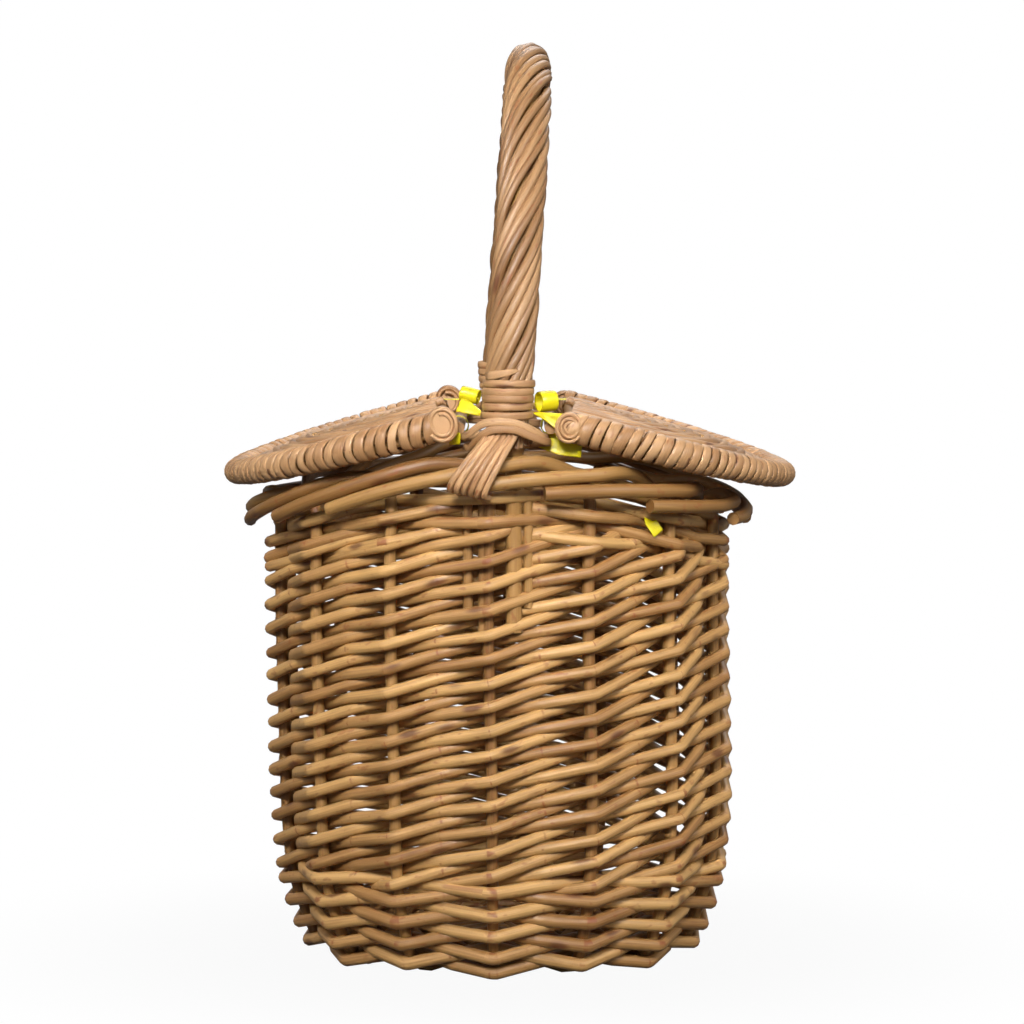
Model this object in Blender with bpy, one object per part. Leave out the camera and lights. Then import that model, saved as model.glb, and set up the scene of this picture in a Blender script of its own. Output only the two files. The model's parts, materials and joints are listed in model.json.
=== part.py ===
"""A round willow basket with two half lids and a roped bow handle.

The handle's plane runs front to back, along Y. The lids hinge on two bars beside it and open
to the left and the right. The origin is at the centre of the underside, on the surface that
the basket stands on.
"""

import math

import bmesh
import bpy
from mathutils import Matrix, Vector

# Stakes, the uprights of the side
STAKE_COUNT = 14
FRONT_STAKE_ANGLE = math.radians(-92.5)
STAKE_RADIUS = 0.0029
STAKE_SIDES = 5

# Border, which the stakes' ends make, and its rise at the handle's feet
BORDER_HEIGHT = 0.218
SADDLE_RISE = 0.023
BORDER_ROD = 0.0060
BORDER_STEPS = (0.0, 0.25, 0.5, 0.75, 1.0, 1.25, 1.5, 1.75, 2.0, 2.5, 3.0, 3.5, 4.0, 4.3)
BORDER_OUT_SHARES = (0.0, -0.32, -0.62, -0.92, -1.2, -0.8, 0.1, 1.05, 1.85, 2.35, 2.45, 2.45, 2.3, 2.1)
BORDER_UP_SHARES = (0.0, 0.22, 0.45, 0.68, 0.92, 1.5, 1.88, 1.75, 1.35, 0.7, 0.1, -0.5, -1.1, -1.4)
BORDER_OUTSIDE_STEP = BORDER_STEPS[6]

# Wall: the profile of the stakes' centre line, as radius and height
WALL_RADIUS = 0.1097
WALL_RADIUS_SHARES = (0.875, 0.92, 0.968, 0.99, 1.0, 1.0, 1.0, 1.0)
STAKE_FOOT_SHARE = 0.835
STAKE_FOOT_RADIUS = WALL_RADIUS * STAKE_FOOT_SHARE
WALL_BELOW_BORDER = 0.003
WALL_HEIGHT = BORDER_HEIGHT - WALL_BELOW_BORDER
WALL_HEIGHT_SHARES = (0.06, 0.12, 0.20, 0.30, 0.42, 0.60, 0.80, 0.95)

# Weavers of the side
WEAVER_HALF = 0.0024
WEAVE_CLEARANCE = 0.0010
FLAT_WEAVE_CLEARANCE = 0.0008
WEAVE_PITCH_SHARE = 0.05596
WEAVE_PITCH = BORDER_HEIGHT * WEAVE_PITCH_SHARE
WEAVE_START_SHARE = 0.2454
WEAVE_START = BORDER_HEIGHT * WEAVE_START_SHARE
WEAVE_BELOW_BORDER = 0.0245
HAIRPIN_SHARE = 0.36

# Upsett, the closer weaving at the bend, and the last rounds under the border
UPSETT_START = 0.0106
UPSETT_PITCH = 0.0130
UPSETT_TURNS = 2
TOP_ROUND_BELOW_BORDER = 0.0120

# Base: sticks that cross at the middle, and the two weavers between them
LONG_STICKS = 3
SHORT_STICKS = 4
LONG_STICK_HALF = 0.0023
SHORT_STICK_HALF = 0.0027
STICK_SPACING = 0.0070
SPOKE_SHORT_OF_STAKE = 0.0019
SPOKE_REACH = STAKE_FOOT_RADIUS - SPOKE_SHORT_OF_STAKE
BASE_WEAVER_HALF = 0.0020
BASE_WEAVE_START = 0.036
BASE_WEAVE_SHORT_OF_STAKE = 0.0024
BASE_WEAVE_END = STAKE_FOOT_RADIUS - BASE_WEAVE_SHORT_OF_STAKE
BASE_WEAVE_PITCH = 0.0110
BASE_FLAT_HALF = 0.0040
BASE_CROWN = 0.0035

# Spread of the bow handle's feet, and the hinge bars that end at them
BOW_OUTSIDE_WALL = 0.0023
BOW_SPREAD = WALL_RADIUS + BOW_OUTSIDE_WALL
HINGE_X = 0.0220
HINGE_ABOVE_SADDLE = 0.027
HINGE_HEIGHT = BORDER_HEIGHT + SADDLE_RISE + HINGE_ABOVE_SADDLE
HINGE_BAR_RADIUS = 0.0032
HINGE_BAR_PAST_BOW = 0.010
HINGE_BAR_HALF_LENGTH = BOW_SPREAD + HINGE_BAR_PAST_BOW
HINGE_BAR_SIDES = 8

# Bow handle
BOW_ABOVE_HINGE = 0.175
BOW_TOP_HEIGHT = HINGE_HEIGHT + BOW_ABOVE_HINGE
LEG_RADIUS = 0.0040
LEG_OFFSET_ANGLE = math.radians(4.8)
LEG_HALF_SHARE = 0.1
LEG_BELOW_BORDER = 0.048
LEG_FOOT_HEIGHT = BORDER_HEIGHT - LEG_BELOW_BORDER
BOW_TWIST_X = 0.001
BOW_LEAN = 0.012
BOW_STATIONS = 36
CORE_RADIUS = 0.0065
CORE_SIDES = 8
ROPING_RADIUS = 0.0118
ROPING_END_RADIUS = 0.0101
ROPING_LOBES = 8
ROPING_LOBE_DEPTH = 0.0013
ROPING_LAY = 0.124
ROPING_GAP = 0.0003

# Binding round each foot of the bow, the roping's ends below it, and the hinge bars' lashing
BINDING_BELOW_HINGE = 0.009
BINDING_LOW = HINGE_HEIGHT - BINDING_BELOW_HINGE
BINDING_TURNS = 6
BINDING_STEPS = 10
BINDING_WIDTH = 0.0034
BINDING_THICKNESS = 0.0013
BINDING_PITCH = 0.0040
BINDING_GAP = 0.0008
TAIL_WIDTH = 0.017
TAIL_WIDTH_SHARES = (0.9, 1.0, 1.0, 0.85)
TAIL_SWEEP_SHARE = 1.3
TAIL_END_SHARE = 1.4
TAIL_THICKNESS = 0.0035
TAIL_DROP = 0.0042
TAIL_LEAVE = 0.0039
LASHING_GAP = 0.0004

# Lids
LID_BAR_OUTBOARD = 0.0116
LID_BAR_RADIUS = 0.0034
LID_BAR_SIDES = 8
LID_SHORT_OF_WALL = 0.0037
LID_REACH = WALL_RADIUS - LID_SHORT_OF_WALL
LID_SHORT_OF_BOW = 0.002
LID_HALF_WIDTH = BOW_SPREAD - LID_SHORT_OF_BOW
LID_ABOVE_BORDER = 0.02257
LID_SLOPE = math.asin((HINGE_HEIGHT - BORDER_HEIGHT - LID_ABOVE_BORDER) / LID_REACH)
EDGE_BOW_HALF = 0.0021
EDGE_RADIUS_INNER = 0.0078
EDGE_RADIUS_OUTER = 0.0064
EDGE_END_RADIUS = 0.0050
EDGE_LEAD = 0.0072
EDGE_GAP = 0.0003
EDGE_STATIONS = 22
EDGE_SIDES = 8
RIB_COUNT = 9
RIB_HALF = 0.0018
RIB_FAN = math.radians(132.0)
HUB_INNER = 0.0135
HUB_OUTER = 0.0185
LID_WEAVER_HALF = 0.0018
LID_WEAVE_ROWS = 6
LID_WEAVE_START_SHARE = 0.377
LID_WEAVE_PITCH_SHARE = 0.0925
LID_WEAVE_TURN = math.radians(7.0)
LID_FLAT_HALF = 0.0030

# Yellow ribbon loops that tie the lids' bars to the hinge bars
STRAP_WIDTH = 0.014
STRAP_THICKNESS = 0.0008
STRAP_GAP = 0.0005
STRAP_INBOARD = 0.025
STRAP_OFFSET = LID_HALF_WIDTH - STRAP_INBOARD
STRAP_CORNERS = 6

HONEY_WILLOW = (0.45, 0.24, 0.09)
BROWN_WILLOW = (0.36, 0.18, 0.065)
PALE_WILLOW = (0.55, 0.32, 0.15)
YELLOW_RIBBON = (0.83, 0.74, 0.03)

INTERVAL = 2 * math.pi / STAKE_COUNT
LEG_SHARE = LEG_OFFSET_ANGLE / INTERVAL
WEAVE_OFFSET = STAKE_RADIUS + WEAVER_HALF + WEAVE_CLEARANCE
LEG_WEAVE_OFFSET = LEG_RADIUS + WEAVER_HALF + WEAVE_CLEARANCE
LEG_CLEARANCE = LEG_RADIUS + STAKE_RADIUS + WEAVE_CLEARANCE
BASE_OFFSET = SHORT_STICK_HALF + BASE_WEAVER_HALF + FLAT_WEAVE_CLEARANCE
BASE_REST = BASE_OFFSET + BASE_WEAVER_HALF
LID_WEAVE_OFFSET = RIB_HALF + LID_WEAVER_HALF + FLAT_WEAVE_CLEARANCE
SHARPEST_MITRE = math.radians(60)
CREASE_ANGLE = math.radians(40)
UP = Vector((0, 0, 1))


def material(name, colour, roughness=0.55):
    made = bpy.data.materials.get(name)
    if made is None:
        made = bpy.data.materials.new(name)
        made.use_nodes = True
        shader = made.node_tree.nodes["Principled BSDF"]
        shader.inputs["Base Color"].default_value = (*colour, 1.0)
        shader.inputs["Roughness"].default_value = roughness
    return made


def finish(name, mesh_data, finish_name, colour, body=None, roughness=0.55):
    """Turn mesh data into one named object with its own material, on the body that carries it."""
    bmesh.ops.recalc_face_normals(mesh_data, faces=mesh_data.faces)
    mesh = bpy.data.meshes.new(name)
    mesh_data.to_mesh(mesh)
    mesh_data.free()
    mesh.shade_smooth()
    mesh.set_sharp_from_angle(angle=CREASE_ANGLE)
    made = bpy.data.objects.new(name, mesh)
    mesh.materials.append(material(finish_name, colour, roughness))
    bpy.context.collection.objects.link(made)
    if body is not None:
        made.parent = body
        made.matrix_parent_inverse = body.matrix_world.inverted()
    return made


def polar(radius, angle, height):
    return Vector((radius * math.cos(angle), radius * math.sin(angle), height))


def outward(angle):
    return polar(1, angle, 0)


def stake_angle(number):
    return FRONT_STAKE_ANGLE + INTERVAL * number


def ring_of(point, before, after, out, section, upright=False):
    """The section set square to the path at a point, mitred where the path bends.

    An upright section keeps its out direction, so that a level stretch has a level underside.
    """
    arrive = (point - before).normalized() if before is not None else (after - point).normalized()
    leave = (after - point).normalized() if after is not None else arrive
    along = (arrive + leave).normalized()
    if upright:
        along = (along - out * along.dot(out)).normalized()
    out = (out - along * out.dot(along)).normalized()
    side = along.cross(out)
    bend = leave - arrive
    stretch = 1 / max(along.dot(arrive), math.cos(SHARPEST_MITRE))
    if upright:
        bend -= out * bend.dot(out)
        flat_arrive = (arrive - out * arrive.dot(out)).normalized()
        stretch = 1 / along.dot(flat_arrive)
    ring = []
    for across, sideways in section:
        offset = out * across + side * sideways
        if bend.length > 0:
            axis = bend.normalized()
            offset += axis * offset.dot(axis) * (stretch - 1)
        ring.append(point + offset)
    return ring


def sweep_rings(points, outs, sections, closed=False, upright=False):
    rings = []
    count = len(points)
    for i, point in enumerate(points):
        before = points[i - 1] if i > 0 or closed else None
        after = points[(i + 1) % count] if i < count - 1 or closed else None
        rings.append(ring_of(point, before, after, outs[i], sections[i], upright))
    return rings


def add_skin(mesh_data, rings, closed=False, twisted=False):
    """Faces along the rings, split along the twist where there is one. Returns the vertices."""
    made = [[mesh_data.verts.new(corner) for corner in ring] for ring in rings]
    pairs = list(zip(made, made[1:]))
    if closed:
        pairs.append((made[-1], made[0]))
    for first, second in pairs:
        size = len(first)
        for i in range(size):
            j = (i + 1) % size
            if twisted:
                mesh_data.faces.new((first[i], first[j], second[i]))
                mesh_data.faces.new((first[j], second[j], second[i]))
            else:
                mesh_data.faces.new((first[i], first[j], second[j], second[i]))
    return made


def solid_sweep(points, outs, sections, closed=False, upright=False):
    mesh_data = bmesh.new()
    made = add_skin(mesh_data, sweep_rings(points, outs, sections, closed, upright), closed)
    if not closed:
        mesh_data.faces.new(made[0])
        mesh_data.faces.new(made[-1])
    return mesh_data


def sleeve_sweep(points, outs, outer_sections, inner_sections, steps_round=0):
    """A tube with a bore. The outer section has twice as many corners as the inner one.

    The outer one may wind round on its way, by a whole number of the bore's corners.
    """
    mesh_data = bmesh.new()
    outer = add_skin(mesh_data, sweep_rings(points, outs, outer_sections), twisted=steps_round > 0)
    inner = add_skin(mesh_data, sweep_rings(points, outs, inner_sections))
    size = len(inner[0])
    wound_back = -2 * (steps_round % size)
    last = outer[-1][wound_back:] + outer[-1][:wound_back]
    for skin, bore in ((outer[0], inner[0]), (last, inner[-1])):
        for i in range(size):
            j = (i + 1) % size
            middle = 2 * i + 1
            mesh_data.faces.new((bore[i], skin[2 * i], skin[middle]))
            mesh_data.faces.new((bore[i], skin[middle], bore[j]))
            mesh_data.faces.new((bore[j], skin[middle], skin[2 * j]))
    return mesh_data


def round_section(radius, sides, turn=0.0):
    step = 2 * math.pi / sides
    return [(radius * math.cos(turn + step * i), radius * math.sin(turn + step * i)) for i in range(sides)]


def square_section(half):
    return [(half, half), (-half, half), (-half, -half), (half, -half)]


def flat_section(half_thickness, half_width):
    return [
        (half_thickness, half_width),
        (-half_thickness, half_width),
        (-half_thickness, -half_width),
        (half_thickness, -half_width),
    ]


def border_height(angle):
    return BORDER_HEIGHT + SADDLE_RISE * math.sin(angle) ** 2


def side_profile():
    """Corners of the stakes' centre line from the foot up, as radius and height."""
    corners = [(STAKE_FOOT_RADIUS, BASE_REST)]
    for radius_share, height_share in zip(WALL_RADIUS_SHARES, WALL_HEIGHT_SHARES):
        corners.append((WALL_RADIUS * radius_share, WALL_HEIGHT * height_share))
    return corners


def side_at_length(length):
    """Radius, height and outward normal of the stakes' line, a given length up from its foot."""
    corners = side_profile()
    for low, high in zip(corners, corners[1:]):
        run = math.dist(low, high)
        if length <= run or high == corners[-1]:
            share = length / run
            normal = ((high[1] - low[1]) / run, (low[0] - high[0]) / run)
            radius = low[0] + (high[0] - low[0]) * share
            return radius, low[1] + (high[1] - low[1]) * share, normal
        length -= run


def side_radius(height):
    corners = side_profile()
    for low, high in zip(corners, corners[1:]):
        if height <= high[1]:
            return low[0] + (high[0] - low[0]) * (height - low[1]) / (high[1] - low[1])
    return corners[-1][0]


def beside_leg(place):
    """How far round from the nearer leg of the handle a place is, in intervals between stakes."""
    half_round = STAKE_COUNT / 2
    return (place - LEG_SHARE + half_round / 2) % half_round - half_round / 2


def build_stake(number):
    """One upright, from its foot at the base up the side and along the border that it ends in."""
    angle = stake_angle(number)
    points = [polar(radius, angle, height) for radius, height in side_profile()]
    outs = [outward(angle)] * len(points)
    outs[0] = outward(angle) - UP
    steps = set(BORDER_STEPS)
    for step in range(1 + math.ceil(BORDER_STEPS[-1])):
        near = step + beside_leg(number - step)
        for edge in (near - LEG_HALF_SHARE, near + LEG_HALF_SHARE):
            if 0 < edge < BORDER_STEPS[-1] and abs(beside_leg(number - edge)) < 2 * LEG_HALF_SHARE:
                steps.add(edge)
    for step in sorted(steps):
        around = stake_angle(number - step)
        out = interpolate(BORDER_STEPS, BORDER_OUT_SHARES, step) * BORDER_ROD
        up = interpolate(BORDER_STEPS, BORDER_UP_SHARES, step) * BORDER_ROD
        away = abs(beside_leg(number - step))
        if step > 0 and away < 3 * LEG_HALF_SHARE:
            near_share = min(1, (3 * LEG_HALF_SHARE - away) / (2 * LEG_HALF_SHARE) + LEG_HALF_SHARE / 2)
            if step < BORDER_OUTSIDE_STEP:
                out += (min(out, -LEG_CLEARANCE) - out) * near_share
            else:
                out += (max(out, LEG_CLEARANCE) - out) * near_share
        points.append(polar(WALL_RADIUS + out, around, border_height(around) + up))
        outs.append(outward(around) if step > 0 else outward(angle))
    sections = [round_section(STAKE_RADIUS, STAKE_SIDES)] * len(points)
    mesh_data = solid_sweep(points, outs, sections)
    finish(f"stake_{number + 1:02d}", mesh_data, "stake_willow", BROWN_WILLOW)


def interpolate(places, values, place):
    for i in range(len(places) - 1):
        if place <= places[i + 1]:
            share = (place - places[i]) / (places[i + 1] - places[i])
            return values[i] + (values[i + 1] - values[i]) * share
    return values[-1]


def weave_station(place, height, front):
    """A point of a side weaver, in front of the stakes' line by the given amount."""
    angle = stake_angle(place)
    return polar(side_radius(height) + front, angle, height), outward(angle)


def weave_half(start, lag, first_front):
    """One half of a side weaver: up to the right, in front of one stake and behind the next."""
    begin = start + HAIRPIN_SHARE
    crossing = (1 - 2 * HAIRPIN_SHARE) * WEAVE_OFFSET
    stations = [(begin, -first_front * crossing)]
    stake = start + 1
    front = first_front
    while True:
        stations.append((stake, front * WEAVE_OFFSET))
        if abs(beside_leg(stake + LEG_SHARE)) < LEG_HALF_SHARE:
            height = WEAVE_START + WEAVE_PITCH * (stake - start) - lag
            if height > LEG_FOOT_HEIGHT - WEAVE_PITCH:
                stations.append((stake + LEG_SHARE, front * LEG_WEAVE_OFFSET))
                stations.append((stake + LEG_SHARE + LEG_HALF_SHARE, front * LEG_WEAVE_OFFSET))
        if WEAVE_START + WEAVE_PITCH * (stake - start) > BORDER_HEIGHT + SADDLE_RISE:
            break
        stake += 1
        front = -front
    points = []
    outs = []
    previous = None
    for place, front in stations:
        height = WEAVE_START + WEAVE_PITCH * (place - start) - lag
        spare = border_height(stake_angle(place)) - WEAVE_BELOW_BORDER - height
        if spare < 0:
            share = previous[2] / (previous[2] - spare)
            place = previous[0] + (place - previous[0]) * share
            front = previous[1] + (front - previous[1]) * share
            height = WEAVE_START + WEAVE_PITCH * (place - start) - lag
        point, out = weave_station(place, height, front)
        points.append(point)
        outs.append(out)
        if spare < 0:
            break
        previous = (place, front, spare)
    return points, outs


def build_side_weaver(number):
    """A rod bent double: its two halves wind up the side one above the other."""
    first_front = 1 if number % 2 == 1 else -1
    upper, upper_outs = weave_half(number, 0, first_front)
    lower, lower_outs = weave_half(number, WEAVE_PITCH / 2, -first_front)
    points = list(reversed(upper)) + lower
    outs = list(reversed(upper_outs)) + lower_outs
    sections = [square_section(WEAVER_HALF)] * len(points)
    mesh_data = solid_sweep(points, outs, sections)
    finish(f"side_weaver_{number + 1:02d}", mesh_data, "weaver_willow", HONEY_WILLOW)


def build_upsett_weaver(name, shift, first_front):
    """A weaver that winds round the bend between the base and the side."""
    points = []
    outs = []
    front = first_front
    for place in range(int(UPSETT_TURNS * STAKE_COUNT) + 1):
        length = UPSETT_START + shift + UPSETT_PITCH * place / STAKE_COUNT
        radius, height, normal = side_at_length(length)
        angle = stake_angle(place)
        offset = front * WEAVE_OFFSET
        points.append(polar(radius + normal[0] * offset, angle, height + normal[1] * offset))
        outs.append(polar(normal[0], angle, normal[1]))
        front = -front
    sections = [square_section(WEAVER_HALF)] * len(points)
    finish(name, solid_sweep(points, outs, sections), "weaver_willow", HONEY_WILLOW)


def build_top_round(name, below, first_front):
    """One closed round of weaving just under the border, which follows the border's rise."""
    points = []
    outs = []
    front = first_front
    for place in range(STAKE_COUNT):
        stations = [(place, front * WEAVE_OFFSET)]
        if abs(beside_leg(place + LEG_SHARE)) < LEG_HALF_SHARE:
            stations.append((place + LEG_SHARE, front * LEG_WEAVE_OFFSET))
            stations.append((place + LEG_SHARE + LEG_HALF_SHARE, front * LEG_WEAVE_OFFSET))
        for where, offset in stations:
            height = border_height(stake_angle(where)) - below
            point, out = weave_station(where, height, offset)
            points.append(point)
            outs.append(out)
        front = -front
    sections = [square_section(WEAVER_HALF)] * len(points)
    finish(name, solid_sweep(points, outs, sections, True), "weaver_willow", HONEY_WILLOW)


def base_height(radius):
    """The base rises a little towards its middle, so that only its outer rounds touch the ground."""
    share = radius / (BASE_WEAVE_END - BASE_WEAVE_PITCH)
    return BASE_REST + BASE_CROWN * max(0, 1 - share ** 2)


def stick(name, lateral, fan, direction, half, crossing):
    """A base stick: straight through the crossing, its two ends fanned out to their stakes."""
    points = [
        polar(SPOKE_REACH, math.pi - fan, base_height(SPOKE_REACH)),
        Vector((-crossing, lateral, base_height(0))),
        Vector((crossing, lateral, base_height(0))),
        polar(SPOKE_REACH, fan, base_height(SPOKE_REACH)),
    ]
    turn = Matrix.Rotation(direction, 4, "Z")
    points = [turn @ point for point in points]
    outs = [UP] * len(points)
    mesh_data = solid_sweep(points, outs, [square_section(half)] * len(points))
    return finish(name, mesh_data, "base_willow", BROWN_WILLOW)


def build_base_sticks():
    """The slath: three sticks that pass through four, as one crossed piece with fourteen ends."""
    long_direction = stake_angle(4)
    short_direction = (stake_angle(0) + stake_angle(1)) / 2
    crossing = STICK_SPACING * SHORT_STICKS / 2
    made = []
    for i in range(LONG_STICKS):
        place = i - (LONG_STICKS - 1) / 2
        name = f"base_long_stick_{i}"
        across = place * STICK_SPACING
        made.append(stick(name, across, place * INTERVAL, long_direction, LONG_STICK_HALF, crossing))
    for i in range(SHORT_STICKS):
        place = i - (SHORT_STICKS - 1) / 2
        name = f"base_short_stick_{i}"
        across = place * STICK_SPACING
        made.append(stick(name, across, place * INTERVAL, short_direction, SHORT_STICK_HALF, crossing))
    sticks = made[0]
    sticks.name = "base_sticks"
    for other in made[1:]:
        union = sticks.modifiers.new("join", "BOOLEAN")
        union.operation = "UNION"
        union.object = other
        other.hide_render = True
        other.display_type = "WIRE"


def build_base_weaver(name, shift, first_side):
    """A weaver that winds outwards over one end of the base sticks and under the next."""
    points = []
    outs = []
    side = first_side
    turns = (BASE_WEAVE_END - BASE_WEAVE_START - shift) / BASE_WEAVE_PITCH
    for place in range(int(turns * STAKE_COUNT)):
        radius = BASE_WEAVE_START + shift + BASE_WEAVE_PITCH * place / STAKE_COUNT
        for edge in (-BASE_FLAT_HALF, BASE_FLAT_HALF):
            angle = stake_angle(place) + edge / radius
            points.append(polar(radius, angle, base_height(radius) + side * BASE_OFFSET))
            outs.append(UP)
        side = -side
    sections = [square_section(BASE_WEAVER_HALF)] * len(points)
    mesh_data = solid_sweep(points, outs, sections, upright=True)
    finish(name, mesh_data, "weaver_willow", HONEY_WILLOW)


def leg_line():
    """The front leg of the bow's core, from its foot in the side up to where the bow starts."""
    angle = FRONT_STAKE_ANGLE + LEG_OFFSET_ANGLE
    rim = border_height(angle) + 2 * BORDER_ROD
    return [
        polar(side_radius(LEG_FOOT_HEIGHT), angle, LEG_FOOT_HEIGHT),
        polar(WALL_RADIUS, angle, WALL_HEIGHT),
        polar(WALL_RADIUS, angle, rim),
        Vector((BOW_TWIST_X, -BOW_SPREAD, bow_start())),
    ]


def bow_start():
    return BINDING_LOW + BINDING_PITCH * BINDING_TURNS / 2 + BINDING_WIDTH


def bow_point(turn):
    """A point of the arch, from the front at 0 over the top to the back at pi."""
    rise = BOW_TOP_HEIGHT - bow_start()
    return Vector(
        (
            BOW_TWIST_X * math.cos(turn) + BOW_LEAN * math.sin(turn),
            -BOW_SPREAD * math.cos(turn),
            bow_start() + rise * math.sin(turn),
        )
    )


def bow_line():
    return [bow_point(math.pi * i / BOW_STATIONS) for i in range(1, BOW_STATIONS)]


def to_back(points):
    """The same points turned half round about the upright axis, in the opposite order."""
    return [Vector((-point.x, -point.y, point.z)) for point in reversed(points)]


def build_handle():
    across = Vector((1, 0, 0))
    leg = leg_line()
    low = leg[2] + (leg[3] - leg[2]) * ((BINDING_LOW - leg[2].z) / (leg[3].z - leg[2].z))
    core = leg[:3] + [low, leg[3]] + bow_line() + to_back(leg[:3] + [low, leg[3]])
    sections = []
    for point in core:
        thick = point.z > low.z + BINDING_WIDTH
        sections.append(round_section(CORE_RADIUS if thick else LEG_RADIUS, CORE_SIDES))
    mesh_data = solid_sweep(core, [across] * len(core), sections)
    finish("handle_core", mesh_data, "core_willow", BROWN_WILLOW)

    line = [low, leg[3]] + bow_line() + to_back([low, leg[3]])
    whole = sum((b - a).length for a, b in zip(line, line[1:]))
    steps_round = round(whole / ROPING_LAY * ROPING_LOBES)
    outer = []
    inner = []
    length = 0.0
    for i, point in enumerate(line):
        if i > 0:
            length += (point - line[i - 1]).length
        turn = 2 * math.pi * steps_round / ROPING_LOBES * length / whole
        around = math.pi * max(0, min(1, (i - 1) / (len(line) - 3)))
        radius = ROPING_END_RADIUS + (ROPING_RADIUS - ROPING_END_RADIUS) * abs(math.sin(2 * around))
        lobed = []
        for corner, place in enumerate(round_section(1, 2 * ROPING_LOBES, turn)):
            reach = radius - ROPING_LOBE_DEPTH * (corner % 2)
            lobed.append((place[0] * reach, place[1] * reach))
        outer.append(lobed)
        bore = (CORE_RADIUS + ROPING_GAP) / math.cos(math.pi / ROPING_LOBES)
        inner.append(round_section(bore, ROPING_LOBES))
    mesh_data = sleeve_sweep(line, [across] * len(line), outer, inner, steps_round)
    finish("handle_roping", mesh_data, "pale_willow", PALE_WILLOW)


def leg_centre(height, back=False):
    """The middle of a leg at a height near its binding."""
    leg = leg_line()
    if height <= leg[3].z:
        share = (height - leg[2].z) / (leg[3].z - leg[2].z)
        return turned([leg[2] + (leg[3] - leg[2]) * share], back)[0]
    turn = math.asin((height - bow_start()) / (BOW_TOP_HEIGHT - bow_start()))
    return bow_point(math.pi - turn if back else turn)


def turned(points, back):
    return [Vector((-point.x, -point.y, point.z)) for point in points] if back else points


def build_binding(name, back):
    """Flat skein wound round the foot of the bow."""
    radius = ROPING_END_RADIUS + BINDING_GAP + BINDING_THICKNESS / 2
    points = []
    outs = []
    for i in range(BINDING_TURNS * BINDING_STEPS + 1):
        turn = 2 * math.pi * i / BINDING_STEPS
        height = BINDING_LOW + BINDING_WIDTH / 2 + BINDING_PITCH * i / BINDING_STEPS
        points.append(leg_centre(height, back) + polar(radius, turn, 0))
        outs.append(outward(turn))
    sections = [flat_section(BINDING_THICKNESS / 2, BINDING_WIDTH / 2)] * len(points)
    mesh_data = solid_sweep(points, outs, sections)
    finish(name, mesh_data, "pale_willow", PALE_WILLOW)


def build_tail(name, back):
    """The roping's ends, laid side by side over the border below the binding."""
    front = WALL_RADIUS + BORDER_ROD * max(BORDER_OUT_SHARES) + STAKE_RADIUS
    over = front + TAIL_THICKNESS
    border = border_height(FRONT_STAKE_ANGLE)
    foot = leg_centre(BINDING_LOW)
    leave = ROPING_END_RADIUS + TAIL_LEAVE + TAIL_THICKNESS / 2
    points = [
        Vector((foot.x, foot.y - leave, BINDING_LOW - TAIL_DROP)),
        Vector((foot.x - TAIL_WIDTH / 2, -over, border + BORDER_ROD)),
        Vector((foot.x - TAIL_WIDTH, -over, border - BORDER_ROD / 2)),
        Vector((foot.x - TAIL_WIDTH * TAIL_SWEEP_SHARE, -front, border - BORDER_ROD * TAIL_END_SHARE)),
    ]
    outs = [Vector((0, -1, 0))] * len(points)
    sections = []
    for share in TAIL_WIDTH_SHARES:
        sections.append(flat_section(TAIL_THICKNESS / 2, TAIL_WIDTH / 2 * share))
    mesh_data = solid_sweep(turned(points, back), turned(outs, back), sections)
    finish(name, mesh_data, "pale_willow", PALE_WILLOW)


def build_hinge_bar(name, side):
    half = HINGE_BAR_HALF_LENGTH
    points = [Vector((side * HINGE_X, -half, HINGE_HEIGHT)), Vector((side * HINGE_X, half, HINGE_HEIGHT))]
    outs = [Vector((1, 0, 0))] * 2
    mesh_data = solid_sweep(points, outs, [round_section(HINGE_BAR_RADIUS, HINGE_BAR_SIDES)] * 2)
    finish(name, mesh_data, "stake_willow", BROWN_WILLOW)


def build_lashing(name, back):
    """A flat skein laid round the leg, which carries the ends of both hinge bars on its edge."""
    foot = leg_centre(HINGE_HEIGHT)
    reach = ROPING_END_RADIUS + BINDING_GAP + BINDING_THICKNESS + LASHING_GAP + BINDING_THICKNESS
    height = HINGE_HEIGHT - HINGE_BAR_RADIUS - LASHING_GAP - BINDING_WIDTH / 2
    middle = foot.y
    points = []
    for wide, long in ((HINGE_X, reach / 2), (reach, reach)):
        points.append(Vector((-wide, -long, height)))
    for wide, long in ((reach, reach), (HINGE_X, reach / 2)):
        points.append(Vector((wide, -long, height)))
    points += [Vector((-point.x, -point.y, height)) for point in points]
    outs = [Vector((point.x, point.y, 0)).normalized() for point in points]
    points = [point + Vector((0, middle, 0)) for point in points]
    sections = [flat_section(BINDING_THICKNESS / 2, BINDING_WIDTH / 2)] * len(points)
    mesh_data = solid_sweep(turned(points, back), turned(outs, back), sections, True)
    finish(name, mesh_data, "pale_willow", PALE_WILLOW)


def lid_point(outboard, along, above=0.0):
    """A point of the right lid: outboard from its bar down the slope, along Y, above its plane."""
    bar_x = HINGE_X + LID_BAR_OUTBOARD
    return Vector(
        (
            bar_x + outboard * math.cos(LID_SLOPE) + above * math.sin(LID_SLOPE),
            along,
            HINGE_HEIGHT - outboard * math.sin(LID_SLOPE) + above * math.cos(LID_SLOPE),
        )
    )


def lid_up():
    return lid_point(0, 0, 1) - lid_point(0, 0, 0)


def lid_finish(name, left, points, outs, sections, look, colour, body, closed=False):
    mesh_data = solid_sweep(turned(points, left), turned(outs, left), sections, closed)
    finish(name, mesh_data, look, colour, body)


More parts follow.
